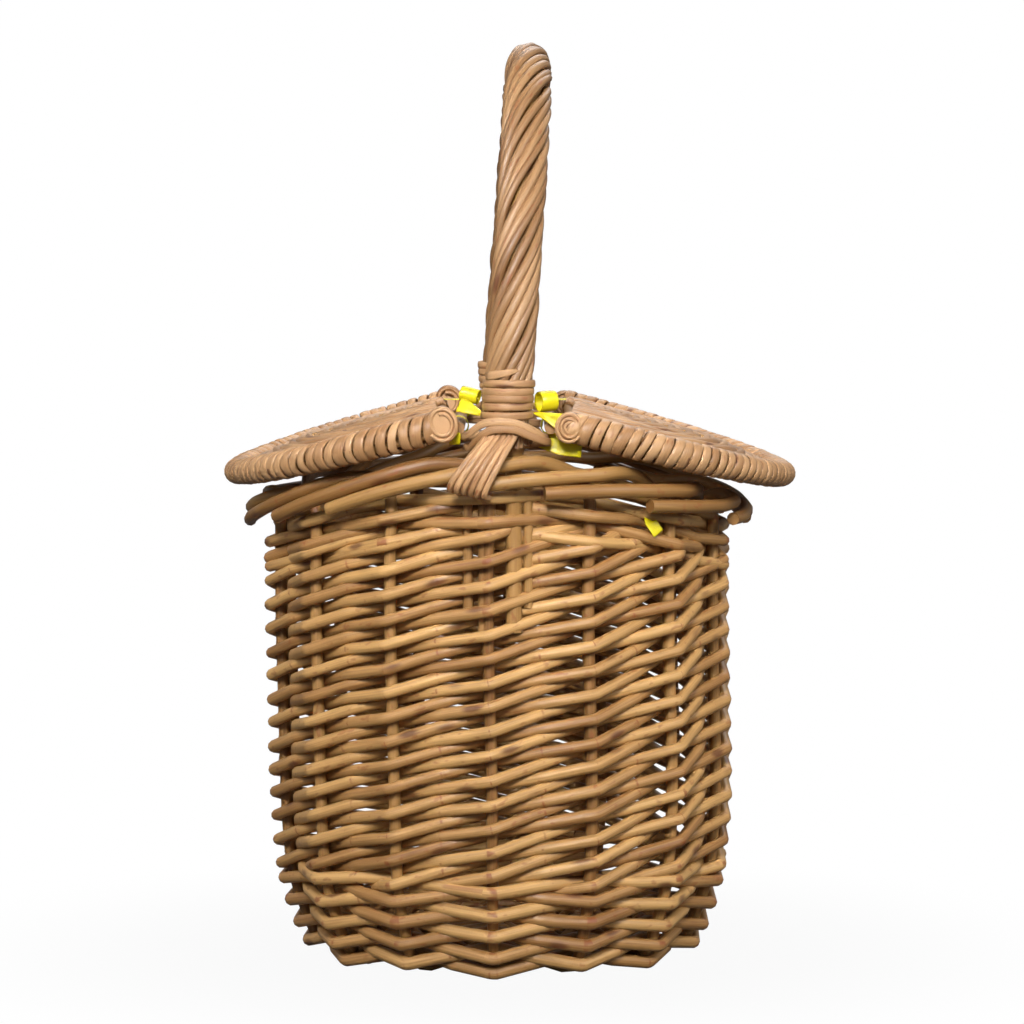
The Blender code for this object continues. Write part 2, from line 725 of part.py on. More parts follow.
def edge_line():
    """The rounded edge of a lid, with a short lead-in past the bar at each end."""
    points = [lid_point(-EDGE_LEAD, -LID_HALF_WIDTH)]
    for i in range(EDGE_STATIONS + 1):
        turn = math.pi * i / EDGE_STATIONS
        points.append(lid_point(LID_REACH * math.sin(turn), -LID_HALF_WIDTH * math.cos(turn)))
    points.append(lid_point(-EDGE_LEAD, LID_HALF_WIDTH))
    return points


def build_lid(side_name, left, body):
    up = lid_up()
    line = edge_line()
    outs = [up] * len(line)
    sections = [square_section(EDGE_BOW_HALF)] * len(line)
    lid_finish(f"{side_name}_lid_bow", left, line, outs, sections, "core_willow", BROWN_WILLOW, body)
    outer = []
    for i in range(len(line)):
        share = math.sin(math.pi * max(0, min(1, (i - 1) / EDGE_STATIONS)))
        radius = EDGE_RADIUS_INNER + (EDGE_RADIUS_OUTER - EDGE_RADIUS_INNER) * share
        if i in (0, len(line) - 1):
            radius = EDGE_END_RADIUS
        outer.append(round_section(radius, EDGE_SIDES, 2 * math.pi / EDGE_SIDES))
    bore = [square_section(EDGE_BOW_HALF + EDGE_GAP)] * len(line)
    mesh_data = sleeve_sweep(turned(line, left), turned(outs, left), outer, bore)
    finish(f"{side_name}_lid_edge", mesh_data, "pale_willow", PALE_WILLOW, body)

    bar_half = LID_HALF_WIDTH - EDGE_RADIUS_INNER - EDGE_GAP
    bar = [lid_point(0, -bar_half), lid_point(0, bar_half)]
    sections = [round_section(LID_BAR_RADIUS, LID_BAR_SIDES)] * 2
    lid_finish(f"{side_name}_lid_bar", left, bar, [up] * 2, sections, "stake_willow", BROWN_WILLOW, body)
    build_ribs(f"{side_name}_lid_ribs", left, body)
    build_lid_weaver(f"{side_name}_lid_weaver", left, body)
    for end_name, place in (("front", -STRAP_OFFSET), ("back", STRAP_OFFSET)):
        build_strap(f"{side_name}_strap_{end_name}", place, left, body)


def rib_angle(number):
    return RIB_FAN * (number / (RIB_COUNT - 1) - 1 / 2)


def lid_radius(angle, reach, half_width):
    """How far a half oval reaches from the middle of the lid's bar, in one direction."""
    return 1 / math.hypot(math.cos(angle) / reach, math.sin(angle) / half_width)


def build_ribs(name, left, body):
    """The lid's ribs, which fan out from one hub at the middle of the bar."""
    corners = []
    inside_reach = LID_REACH - EDGE_RADIUS_OUTER - 2 * EDGE_GAP
    inside_width = LID_HALF_WIDTH - EDGE_RADIUS_INNER - 2 * EDGE_GAP
    for number in range(RIB_COUNT):
        angle = rib_angle(number)
        tip = lid_radius(angle, inside_reach, inside_width)
        for reach, sides in ((HUB_OUTER, (-1,)), (tip, (-1, 1)), (HUB_OUTER, (1,))):
            for side in sides:
                outboard = reach * math.cos(angle) - side * RIB_HALF * math.sin(angle)
                along = reach * math.sin(angle) + side * RIB_HALF * math.cos(angle)
                corners.append((outboard, along))
    for number in reversed(range(RIB_COUNT)):
        angle = rib_angle(number)
        corners.append((HUB_INNER * math.cos(angle), HUB_INNER * math.sin(angle)))
    mesh_data = bmesh.new()
    low = [mesh_data.verts.new(p) for p in turned([lid_point(a, b, -RIB_HALF) for a, b in corners], left)]
    high = [mesh_data.verts.new(p) for p in turned([lid_point(a, b, RIB_HALF) for a, b in corners], left)]
    mesh_data.faces.new(low)
    mesh_data.faces.new(high)
    for i in range(len(low)):
        j = (i + 1) % len(low)
        mesh_data.faces.new((low[i], low[j], high[j], high[i]))
    finish(name, mesh_data, "stake_willow", BROWN_WILLOW, body)


def build_lid_weaver(name, left, body):
    """One weaver that goes to and fro across the ribs, over one and under the next."""
    points = []
    for row in range(LID_WEAVE_ROWS):
        share = LID_WEAVE_START_SHARE + LID_WEAVE_PITCH_SHARE * row
        numbers = range(RIB_COUNT)
        direction = 1
        if row % 2 == 1:
            numbers = reversed(numbers)
            direction = -1
        points.append(weave_end(share, -direction))
        for number in numbers:
            above = LID_WEAVE_OFFSET * (1 if (number + row) % 2 == 0 else -1)
            radius = lid_radius(rib_angle(number), LID_REACH, LID_HALF_WIDTH) * share
            for edge in (-direction * LID_FLAT_HALF, direction * LID_FLAT_HALF):
                angle = rib_angle(number) + edge / radius
                points.append(lid_point(radius * math.cos(angle), radius * math.sin(angle), above))
        points.append(weave_end(share, direction))
    sections = [square_section(LID_WEAVER_HALF)] * len(points)
    outs = [lid_up()] * len(points)
    lid_finish(name, left, points, outs, sections, "weaver_willow", HONEY_WILLOW, body)


def weave_end(share, direction):
    angle = direction * (RIB_FAN / 2 + LID_WEAVE_TURN)
    radius = lid_radius(angle, LID_REACH, LID_HALF_WIDTH) * share
    return lid_point(radius * math.cos(angle), radius * math.sin(angle))


def build_strap(name, place, left, body):
    """A ribbon looped round the hinge bar and the lid's bar."""
    reach = max(HINGE_BAR_RADIUS, LID_BAR_RADIUS) + STRAP_GAP + STRAP_THICKNESS / 2
    points = []
    outs = []
    for centre_x, first in ((HINGE_X, 0.5), (HINGE_X + LID_BAR_OUTBOARD, -0.5)):
        for i in range(STRAP_CORNERS + 1):
            turn = math.pi * (first + i / STRAP_CORNERS)
            outs.append(Vector((math.cos(turn), 0, math.sin(turn))))
            points.append(Vector((centre_x, place, HINGE_HEIGHT)) + outs[-1] * reach)
    sections = [flat_section(STRAP_THICKNESS / 2, STRAP_WIDTH / 2)] * len(points)
    lid_finish(name, left, points, outs, sections, "yellow_ribbon", YELLOW_RIBBON, body, True)


def hinge_empty(name, side):
    """An empty on a lid's joint axis, which carries that lid's pieces."""
    made = bpy.data.objects.new(name, None)
    made.location = (side * HINGE_X, 0, HINGE_HEIGHT)
    bpy.context.collection.objects.link(made)
    bpy.context.view_layer.update()
    return made


def main():
    for old in list(bpy.data.objects):
        bpy.data.objects.remove(old)
    build_base_sticks()
    build_base_weaver("base_weaver_a", 0, 1)
    build_base_weaver("base_weaver_b", BASE_WEAVE_PITCH / 2, -1)
    for number in range(STAKE_COUNT):
        build_stake(number)
    build_upsett_weaver("upsett_weaver_a", 0, 1)
    build_upsett_weaver("upsett_weaver_b", UPSETT_PITCH / 2, -1)
    for number in range(STAKE_COUNT):
        build_side_weaver(number)
    build_top_round("top_round_upper", TOP_ROUND_BELOW_BORDER, 1)
    build_top_round("top_round_lower", TOP_ROUND_BELOW_BORDER + WEAVE_PITCH / 2, -1)
    build_handle()
    for end_name, back in (("front", False), ("back", True)):
        build_binding(f"handle_binding_{end_name}", back)
        build_tail(f"handle_tails_{end_name}", back)
        build_lashing(f"hinge_lashing_{end_name}", back)
    for side_name, left, side in (("left", True, -1), ("right", False, 1)):
        build_hinge_bar(f"{side_name}_hinge_bar", side)
        build_lid(side_name, left, hinge_empty(f"{side_name}_lid_axis", side))


main()
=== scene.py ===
"""Looks of the lidded willow basket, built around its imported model.

The file is laid out as an add-on and run as a script. Every woven piece is laid as round rods or
flat strips along the same lines as the solids that it stands for. Lengths are in metres.
"""

import json
import math
import random

import bmesh
import bpy
from mathutils import Matrix, Vector


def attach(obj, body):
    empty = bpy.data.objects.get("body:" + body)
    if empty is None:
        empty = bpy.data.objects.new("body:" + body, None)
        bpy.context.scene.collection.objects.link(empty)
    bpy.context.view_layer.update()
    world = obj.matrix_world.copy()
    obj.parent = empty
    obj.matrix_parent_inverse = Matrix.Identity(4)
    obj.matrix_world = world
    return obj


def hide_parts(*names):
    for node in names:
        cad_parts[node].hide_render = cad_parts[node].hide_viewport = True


bl_info = {
    "name": "Lidded willow basket",
    "version": (1, 0, 0),
    "blender": (4, 5, 0),
    "location": "3D View > Sidebar > Basket",
    "description": "Dresses the packed basket in willow rods, wrapped lids and plastic ribbon",
    "category": "Object",
}

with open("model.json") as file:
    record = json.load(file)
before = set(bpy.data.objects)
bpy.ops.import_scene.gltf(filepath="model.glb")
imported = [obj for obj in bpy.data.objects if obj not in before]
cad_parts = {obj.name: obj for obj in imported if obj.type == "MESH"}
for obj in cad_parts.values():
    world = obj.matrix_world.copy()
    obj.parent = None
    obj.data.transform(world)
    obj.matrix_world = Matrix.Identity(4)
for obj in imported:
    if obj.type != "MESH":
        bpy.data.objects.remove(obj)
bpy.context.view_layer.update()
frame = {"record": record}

# Stakes and wall, as in the solids
STAKES = 14
INTERVAL = 2 * math.pi / STAKES
FRONT_STAKE = math.radians(-92.5)
WALL_RADIUS = 0.1097
BORDER_HEIGHT = 0.218
SADDLE_RISE = 0.023
WALL_BELOW_BORDER = 0.003
WALL_HEIGHT = BORDER_HEIGHT - WALL_BELOW_BORDER
WALL_RADIUS_SHARES = (0.835, 0.875, 0.92, 0.968, 0.99, 1.0, 1.0, 1.0, 1.0)
WALL_HEIGHT_SHARES = (0.0349, 0.06, 0.12, 0.20, 0.30, 0.42, 0.60, 0.80, 0.95)
STAKE_BUTT_SHARES = (0.95, 1.05)

# How the woven body stands a little to the left of the handle's foot
BODY_SHIFT = Vector((-0.0012, 0, 0))
BODY_LEAN = Vector((-0.0020, 0, 0))
LEAN_HEIGHTS = (0.09, 0.17)

# Border: how far out and up a stake's end lies, in rods, at each step from stake to stake
BORDER_ROD = 0.0060
BORDER_STEPS = (0.0, 0.25, 0.5, 0.75, 1.0, 1.25, 1.5, 1.75, 2.0, 2.5, 3.0, 3.5, 3.7)
BORDER_OUT_SHARES = (0.0, -0.32, -0.62, -0.92, -1.2, -0.8, 0.1, 1.05, 1.85, 2.35, 2.45, 2.35, 2.2)
BORDER_UP_SHARES = (0.0, 0.22, 0.45, 0.68, 0.92, 1.5, 1.88, 1.75, 1.35, 0.7, 0.1, -0.5, -0.7)
BORDER_STEP = 0.25
BORDER_COMES_OUT = 1.5
BORDER_CUT_EARLY = 0.5
BORDER_SWELL_SHARE = 0.16
BORDER_TAPER_SHARE = 0.03
CURVE_STEPS = 4

# The handle's legs in the wall, and how the rods pass round them, in intervals between stakes
LEG_TURN = math.radians(4.8)
LEG_PLACE = LEG_TURN / INTERVAL
LEG_FOOT_HEIGHT = 0.170
LEG_CLEARANCE = 0.0078
LEG_CLEAR_REACH = 0.12
LEG_CLEAR_FADE = 0.2
LEG_REACH = 0.3
LEG_BULGE = 0.001
LEG_BULGE_ABOVE = 0.0012

# Side weave: drops are in dips of a weaver, kinks and begins in intervals between stakes
WEAVE_PITCH = 0.0117
WEAVE_START = 0.0535
WEAVE_BELOW_BORDER = 0.0178
WEAVE_PRESS_SHARE = 0.92
WEAVE_TUCK_SHARE = 0.9
WEAVE_DROPS = {"front": -0.42, "after": 0.30, "behind": 0.30, "before": 0.06}
WEAVE_KINK = 0.02
WEAVE_KINK_DROP = 0.02
WEAVE_SLIP = 0.0005
WEAVE_BEGINS = ((-0.9, -0.1), (-0.75, -0.35))
WEAVER_BUTT_SHARES = (0.96, 1.06)
WEAVER_WAVE_SHARE = 0.05
WEAVER_WAVE = 0.23

# Closed rounds: the stations of one stretch as a place, how far forward and how much of the climb
ROUND_STATIONS = ((-0.03, 0.97, 0), (0, 1, 0), (0.03, 0.97, 0), (0.5, 0, 1))
ROUND_CLIMB = 0.0008
ROUND_FALL = -0.0009
ROUND_SLIP = 0.0006
ROUND_BUTT_SHARES = (0.97, 1.07)
ROUND_WAVE_SHARE = 0.04
ROUND_WAVE = 0.4
TOP_ROUNDS_BELOW = (0.0048, 0.0108, 0.0168, 0.0228)
TOP_ROUND_DROP = 0.45

# Upsett
UPSETT_TOP = 0.0428
UPSETT_ROUNDS = 9
UPSETT_SPACING = 0.0055
UPSETT_ROD_SHARE = 1.07
UPSETT_DROP_FRONT = 0.8
UPSETT_RISE_BEHIND = 0.25
UPSETT_STEEP = 0.7
UPSETT_STEEPER = 0.5
UPSETT_FLAT_ROUNDS = 2
UPSETT_FLAT_STEEP = 0.35
UPSETT_REST_SHARE = 1.1

# Base
BASE_REST = 0.0075
BASE_OFFSET = 0.0052
BASE_CROWN = 0.0035
BASE_CROWN_REACH = 0.0782
BASE_WEAVE_START = 0.036
BASE_WEAVE_END = 0.0892
BASE_WEAVE_PITCH = 0.0110
BASE_KINK = 0.003
SPOKES = ((3, 4.0), (4, 0.5))
SPOKE_REACH = 0.0897
SPOKE_SPACING = 0.007
SPOKE_CROSSING = 0.014
SPOKE_RADIUS = 0.0027

# Hinge line, read from the joints
HINGES = {joint["child"]: Vector(joint["pos_m"]) for joint in frame["record"]["behaviour"]["joints"]}
HINGE_X = HINGES["right_lid"].x
HINGE_HEIGHT = HINGES["right_lid"].z
HINGE_BAR_HALF = 0.1100
HINGE_BAR_RADIUS = 0.0030

# Bow handle
BOW_SPREAD = 0.112
BOW_TWIST_X = 0.001
BOW_TOP = 0.443
BOW_LEAN = 0.012
BOW_START = 0.2744
BOW_STATIONS = 72
CORE_RADIUS = 0.0065
CORE_LEG_SHARE = 0.62

# Thin rods beside the front stake inside: how far across and how low each ends
INNER_ENDS = ((-0.0175, 0.176), (-0.0105, 0.168), (0.0112, 0.182))
INNER_END_MIDDLE = 0.20
INNER_END_SHARE = 0.36

# Roping: waves are in radians over the whole bow
ROPING_RADIUS = 0.0080
ROPING_SWELL = 0.0015
ROPING_RIPPLE = 0.0003
ROPING_RIPPLE_WAVE = 23
ROPING_WANDER = 0.12
ROPING_WANDER_WAVE = 14
STRAND_BUTT_SHARES = (0.94, 1.08)
STRAND_FOOT_SHARE = 0.86
STRAND_WAVE_SHARE = 0.06
STRAND_WAVE = 9

# Bindings at the foot of the roping
BINDING_LOW = 0.259
BINDING_HEIGHTS = (0.2745, 0.2786, 0.2822, 0.2858, 0.2893)
BINDING_RADIUS = 0.0117
BINDING_SIZE_SHARES = (0.985, 1.025)
BINDING_LEAN = 0.0005
BINDING_WIDTH = 0.0037
BINDING_THICKNESS = 0.0015
BINDING_END_HEIGHT = 0.2928
BINDING_END_RISE = 0.0030
BINDING_END_RADIUS = 0.0123
BINDING_END_TUCK = 0.0016
BINDING_END_START = -150
BINDING_END_SWEEP = 82
BINDING_END_WIDTHS = (0.0042, 0.0042, 0.0041, 0.0038, 0.0034, 0.0028, 0.0016)
BINDING_END_THICKNESS = 0.0018
LASHING_WIDTH = 0.0039
LASHING_THICKNESS = 0.0015

# Tails: each runs from the binding over the border, the first on the left
TAILS = 6
TAIL_RADIUS = 0.00138
TAIL_TOP_LEFT = -0.0080
TAIL_TOP_SPREAD = 0.0134
TAIL_LOW_LEFT = -0.0246
TAIL_LOW_SPREAD = 0.0162
TAIL_LOW_HEIGHT = 0.2440
TAIL_LOW_FALL = 0.0035
TAIL_SLIP = 0.0004
TAIL_STAGGER = 0.0006
TAIL_CLEARANCE = 0.0030
TAIL_BORDER_SHARE = 2.45
TAIL_BUTT_SHARES = (0.96, 1.08)
TAIL_SWELL_SHARE = 0.16

# Lids
LID_BAR_OUTBOARD = 0.0116
LID_BAR_HALF = 0.1015
LID_BAR_RADIUS = 0.0034
LID_REACHES = {"left": 0.1035, "right": 0.1085}
LID_HALF_WIDTH = 0.110
LID_SLOPE = math.radians(15.0)
LID_CROWN = 0.0062
LID_CORNER_BEND = 0.0020
EDGE_STATIONS = 120
EDGE_AHEAD = 0.01
EDGE_RODS = ((0.0022, 0.002), (-0.0024, 0.0016), (0.0, -0.0026))
EDGE_ROD_RADIUS = 0.0023

# Skein round a lid's edge
WRAP_SPACING_SHARE = 0.95
WRAP_HIGH = 0.0054
WRAP_HIGH_AT_HINGE = 0.0016
WRAP_DEEP = 0.0058
WRAP_DEEP_AT_HINGE = 0.0010
WRAP_SLIP = 0.0002
WRAP_LEAN = math.radians(13)
WRAP_LEAN_SLIP = 0.12
WRAP_BOW = 0.0020
WRAP_WIDTH_SHARES = (0.74, 1.08)
WRAP_THICKNESS = 0.0018
ROLLS = {
    "left": {"across": 0.0070, "tall": 0.0084, "inboard": 0.0024, "up": 0.0012, "turns": 1.7, "shrink": 0.46,
             "thickness": 0.0030},
    "right": {"across": 0.0064, "tall": 0.0074, "inboard": 0.0010, "up": 0.0, "turns": 2.7, "shrink": 0.78,
              "thickness": 0.0024},
}
ROLL_OUT = 0.0030
ROLL_START = math.radians(205)
ROLL_WIDTH = 0.0088
ROLL_CORE_STEPS = (-0.0008, 0.0, 0.0026, 0.0034)
ROLL_CORE_SHARES = (1.3, 1.6, 1.6, 1.3)
ROLL_CORE_TALL_SHARE = 1.12

# Woven top of a lid
RIBS = 9
RIB_SPREAD = math.radians(164)
RIB_START = 0.003
RIB_RADIUS = 0.0019
RIB_SHORT = 0.0060
RIB_NARROW = 0.0070
LID_ROWS = 20
LID_ROW_SHARES = (0.12, 0.92)
LID_ROD_RADIUS = 0.0022
LID_ROD_STEP = 0.0005
LID_ROD_BUTT_SHARES = (0.92, 1.08)
LID_ROD_OVERRUN = 0.9

# Ribbon: each loop's shift along the bar and its radius
RIBBON_THICKNESS = 0.0006
RIBBON_PLACES = (("front", -0.085), ("back", 0.085))
RIBBON_LOOPS = ((-0.0036, 0.0044), (0.0036, 0.0046))
RIBBON_FACING = (0, -1, 0.15)

# Rods and strips as they are laid
MERGE_SHARE = 1 / 1000
SMOOTH_BELOW = math.radians(60)
KINK_LENGTH = 0.0022
KINK_SPAN_SHARE = 2.5
SHARP_BEND = math.radians(13)
STRIP_SECTION = (
    (-1.0, 0.0), (-0.9, 0.55), (-0.5, 0.92), (0.0, 1.0), (0.5, 0.92), (0.9, 0.55), (1.0, 0.0),
    (0.85, -0.6), (0.0, -0.8), (-0.85, -0.6),
)


def linear(hex_colour):
    """An sRGB hex colour as linear red, green and blue."""
    parts = [int(hex_colour[i : i + 2], 16) / 255 for i in (1, 3, 5)]
    return tuple(part / 12.92 if part <= 0.04045 else ((part + 0.055) / 1.055) ** 2.4 for part in parts)


def length_property(name, description, default):
    return bpy.props.FloatProperty(
        name=name, description=description, default=default, unit="LENGTH", precision=5
    )


def colour_property(name, description, default):
    return bpy.props.FloatVectorProperty(
        name=name, description=description, default=linear(default), subtype="COLOR", min=0, max=1
    )


class BasketSizes(bpy.types.PropertyGroup):
    stake_radius: length_property("Stake radius", "Half the thickness of an upright", 0.0030)
    weaver_radius: length_property("Weaver radius", "Half the thickness of a rod of the side", 0.0029)
    weaver_dip: length_property("Weaver dip", "How much lower a rod passes in front of a stake", 0.0027)
    base_radius: length_property("Base weaver radius", "Half the thickness of a rod of the base", 0.0021)
    rope_strand_radius: length_property("Strand radius", "Half the thickness of a handle strand", 0.00218)
    rope_strands: bpy.props.IntProperty(
        name="Roping strands", description="Number of rods twisted round the handle", default=13, min=3
    )
    rope_lay: length_property("Roping lay", "Length of one turn of the handle's twist", 0.132)
    skein_width: length_property("Skein width", "Width of the flat strip that wraps the lids", 0.0057)
    ribbon_width: length_property("Ribbon width", "Width of the plastic ribbon", 0.0075)


class BasketColours(bpy.types.PropertyGroup):
    honey: colour_property("Honey willow", "Varnished side rods", "#CEA163")
    honey_dark: colour_property("Dark honey willow", "The darker of the side rods", "#8C5E31")
    stake: colour_property("Stake willow", "Uprights and border", "#AC824A")
    stake_dark: colour_property("Dark stake willow", "The darker of the uprights", "#7A5026")
    pale: colour_property("Pale willow", "Skein of the lids and bindings", "#C4996C")
    pale_dark: colour_property("Dark pale willow", "The darker turns of skein", "#966B42")
    rope: colour_property("Roping willow", "Handle strands", "#AB845A")
    rope_dark: colour_property("Dark roping willow", "The darker strands", "#7A5430")
    knot: colour_property("Knot", "Buds and scars on a rod", "#5E3018")
    fleck: colour_property("Fleck", "Reddish marks where bark was bruised", "#8C4A24")
    cut: colour_property("Cut end", "Sawn end of a rod", "#C9A878")
    ribbon: colour_property("Ribbon", "Glossy yellow plastic", "#EBDD20")


def sizes():
    return bpy.context.scene.basket_sizes


def colours():
    return bpy.context.scene.basket_colours


# Lines of the basket


def polar(radius, angle, height):
    return Vector((radius * math.cos(angle), radius * math.sin(angle), height))


def on_body(radius, angle, height):
    """A point of the woven body, which leans a little to the left of the handle."""
    low, high = LEAN_HEIGHTS
    share = min(1, max(0, (height - low) / (high - low)))
    return polar(radius, angle, height) + BODY_SHIFT + BODY_LEAN * share


def stake_angle(place):
    return FRONT_STAKE + INTERVAL * place


def border_height(angle):
    return BORDER_HEIGHT + SADDLE_RISE * math.sin(angle) ** 2


def interpolate(places, values, place):
    for low, high, first, second in zip(places, places[1:], values, values[1:]):
        if place <= high:
            return first + (second - first) * (place - low) / (high - low)
    return values[-1]


def wall_radius(height):
    heights = [WALL_HEIGHT * share for share in WALL_HEIGHT_SHARES]
    radii = [WALL_RADIUS * share for share in WALL_RADIUS_SHARES]
    return interpolate(heights, radii, max(height, heights[0]))


def beside_leg(place):
    """How far round from the nearer leg of the handle a place is, in intervals between stakes."""
    half_round = STAKES / 2
    return (place - LEG_PLACE + half_round / 2) % half_round - half_round / 2


def rounded(points, steps):
    """The points with a smooth curve through them, the given number of steps to each stretch."""
    line = []
    for i in range(len(points) - 1):
        before = points[max(i - 1, 0)]
        first, second = points[i], points[i + 1]
        after = points[min(i + 2, len(points) - 1)]
        for step in range(steps):
            t = step / steps
            line.append(
                0.5
                * (
                    2 * first
                    + (second - before) * t
                    + (2 * before - 5 * first + 4 * second - after) * t * t
                    + (3 * first - before - 3 * second + after) * t * t * t
                )
            )
    line.append(points[-1])
    return line


def to_back(points):
    """The same points turned half round about the upright axis."""
    return [Vector((-point.x, -point.y, point.z)) for point in points]


def bow_point(turn):
    """A point of the bow's arch, from the front at 0 over the top to the back at pi."""
    return Vector(
        (
            BOW_TWIST_X * math.cos(turn) + BOW_LEAN * math.sin(turn),
            -BOW_SPREAD * math.cos(turn),
            BOW_START + (BOW_TOP - BOW_START) * math.sin(turn),
        )
    )


def leg_corners():
    """The front leg of the handle, from its foot in the side up to where the bow starts."""
    angle = FRONT_STAKE + LEG_TURN
    return [
        polar(WALL_RADIUS, angle, LEG_FOOT_HEIGHT),
        polar(WALL_RADIUS, angle, WALL_HEIGHT),
        polar(WALL_RADIUS, angle, border_height(angle) + 2 * BORDER_ROD),
        Vector((BOW_TWIST_X, -BOW_SPREAD, BOW_START)),
    ]


def leg_centre(height):
    """The middle of the front leg at a height near its binding."""
    low, high = leg_corners()[2:]
    if height <= high.z:
        return low.lerp(high, (height - low.z) / (high.z - low.z))
    return bow_point(math.asin(min(1, (height - BOW_START) / (BOW_TOP - BOW_START))))


def lid_point(outboard, along, above=0.0):
    """A point of the right lid: outboard from its bar down the slope, along Y, above its plane."""
    return Vector(
        (
            HINGE_X + LID_BAR_OUTBOARD + outboard * math.cos(LID_SLOPE) + above * math.sin(LID_SLOPE),
            along,
            HINGE_HEIGHT - outboard * math.sin(LID_SLOPE) + above * math.cos(LID_SLOPE),
        )
    )


# Making rods and strips


def lay_rods(name, rods, radius, resolution=3):
    """Lays each rod, a line of points with a thickness share at each, as a bevelled curve.

    The curve becomes a mesh with lengths in its UV map, a tone for each rod and marked cut ends.
    """
    bpy.ops.object.select_all(action="DESELECT")
    bpy.ops.curve.primitive_nurbs_path_add(location=(0, 0, 0))
    piece = bpy.context.object
    piece.name = name
    piece.data.splines.clear()
    piece.data.bevel_depth = radius
    piece.data.bevel_resolution = resolution
    piece.data.use_fill_caps = True
    piece.data.twist_mode = "MINIMUM"
    for points, shares, closed in rods:
        spline = piece.data.splines.new("POLY")
        spline.points.add(len(points) - 1)
        for point, place, share in zip(spline.points, points, shares):
            point.co = (*place, 1)
            point.radius = share
        spline.use_cyclic_u = closed
    bpy.ops.object.convert(target="MESH")
    piece = bpy.context.object
    measure_rods(piece.data, rods, 2 * (resolution + 2))
    bpy.ops.object.mode_set(mode="EDIT")
    bpy.ops.mesh.select_all(action="SELECT")
    bpy.ops.mesh.remove_doubles(threshold=radius * MERGE_SHARE)
    bpy.ops.object.mode_set(mode="OBJECT")
    bpy.ops.object.shade_smooth_by_angle(angle=SMOOTH_BELOW)
    return piece


def crisp(points, shares, closed):
    """The line with a point added just before and after each kink, which keeps its shading short."""
    count = len(points)
    line = []
    thick = []
    for i, point in enumerate(points):
        kinked = closed or 0 < i < count - 1
        for other in ((i - 1) % count, None, (i + 1) % count):
            if other is None:
                line.append(point)
                thick.append(shares[i])
                continue
            away = points[other] - point
            if kinked and away.length > KINK_SPAN_SHARE * KINK_LENGTH:
                line.append(point + away.normalized() * KINK_LENGTH)
                thick.append(shares[i])
    return line, thick, closed


def sharp_bends(points, closed):
    """For each point 1 where the line kinks there, and 0 where it runs on smoothly."""
    count = len(points)
    bends = []
    for i, point in enumerate(points):
        if not closed and i in (0, count - 1):
            bends.append(0.0)
            continue
        before = point - points[i - 1]
        after = points[(i + 1) % count] - point
        bends.append(1.0 if before.angle(after, 0) > SHARP_BEND else 0.0)
    return bends


def measure_rods(mesh, rods, corners):
    """Writes the length along each rod and the turn round it to the UV map, its tone and its kinks."""
    caps = sum(2 * corners for points, shares, closed in rods if not closed)
    ring_lengths = []
    ring_rods = []
    ends = []
    for number, (points, shares, closed) in enumerate(rods):
        length = 0.0
        for i, point in enumerate(points):
            if i > 0:
                length += (point - points[i - 1]).length
            ring_lengths.append(length)
            ring_rods.append(number)
        ends.append(length)
    bends = [bend for points, shares, closed in rods for bend in sharp_bends(points, closed)]
    tones = [random.random() for rod in rods]
    bruise = mesh.attributes.new("bend", "FLOAT", "POINT")
    tone = mesh.attributes.new("tone", "FLOAT", "POINT")
    open_rods = [number for number, rod in enumerate(rods) if not rod[2]]
    for vertex in range(caps):
        number = open_rods[len(open_rods) - 1 - vertex // (2 * corners)]
        tone.data[vertex].value = tones[number]
    for vertex in range(caps, len(mesh.vertices)):
        tone.data[vertex].value = tones[ring_rods[(vertex - caps) // corners]]
        bruise.data[vertex].value = bends[(vertex - caps) // corners]
    layer = mesh.uv_layers[0].data
    for face in mesh.polygons:
        cap = any(vertex < caps for vertex in face.vertices)
        face.material_index = 1 if cap else 0
        for vertex, loop in zip(face.vertices, face.loop_indices):
            turn = layer[loop].uv[1]
            if cap:
                layer[loop].uv = (0, 0)
                continue
            ring = (vertex - caps) // corners
            length = ring_lengths[ring]
            if layer[loop].uv[0] > 0.999 and length == 0:
                length = ends[ring_rods[ring]]
            layer[loop].uv = (length, turn)


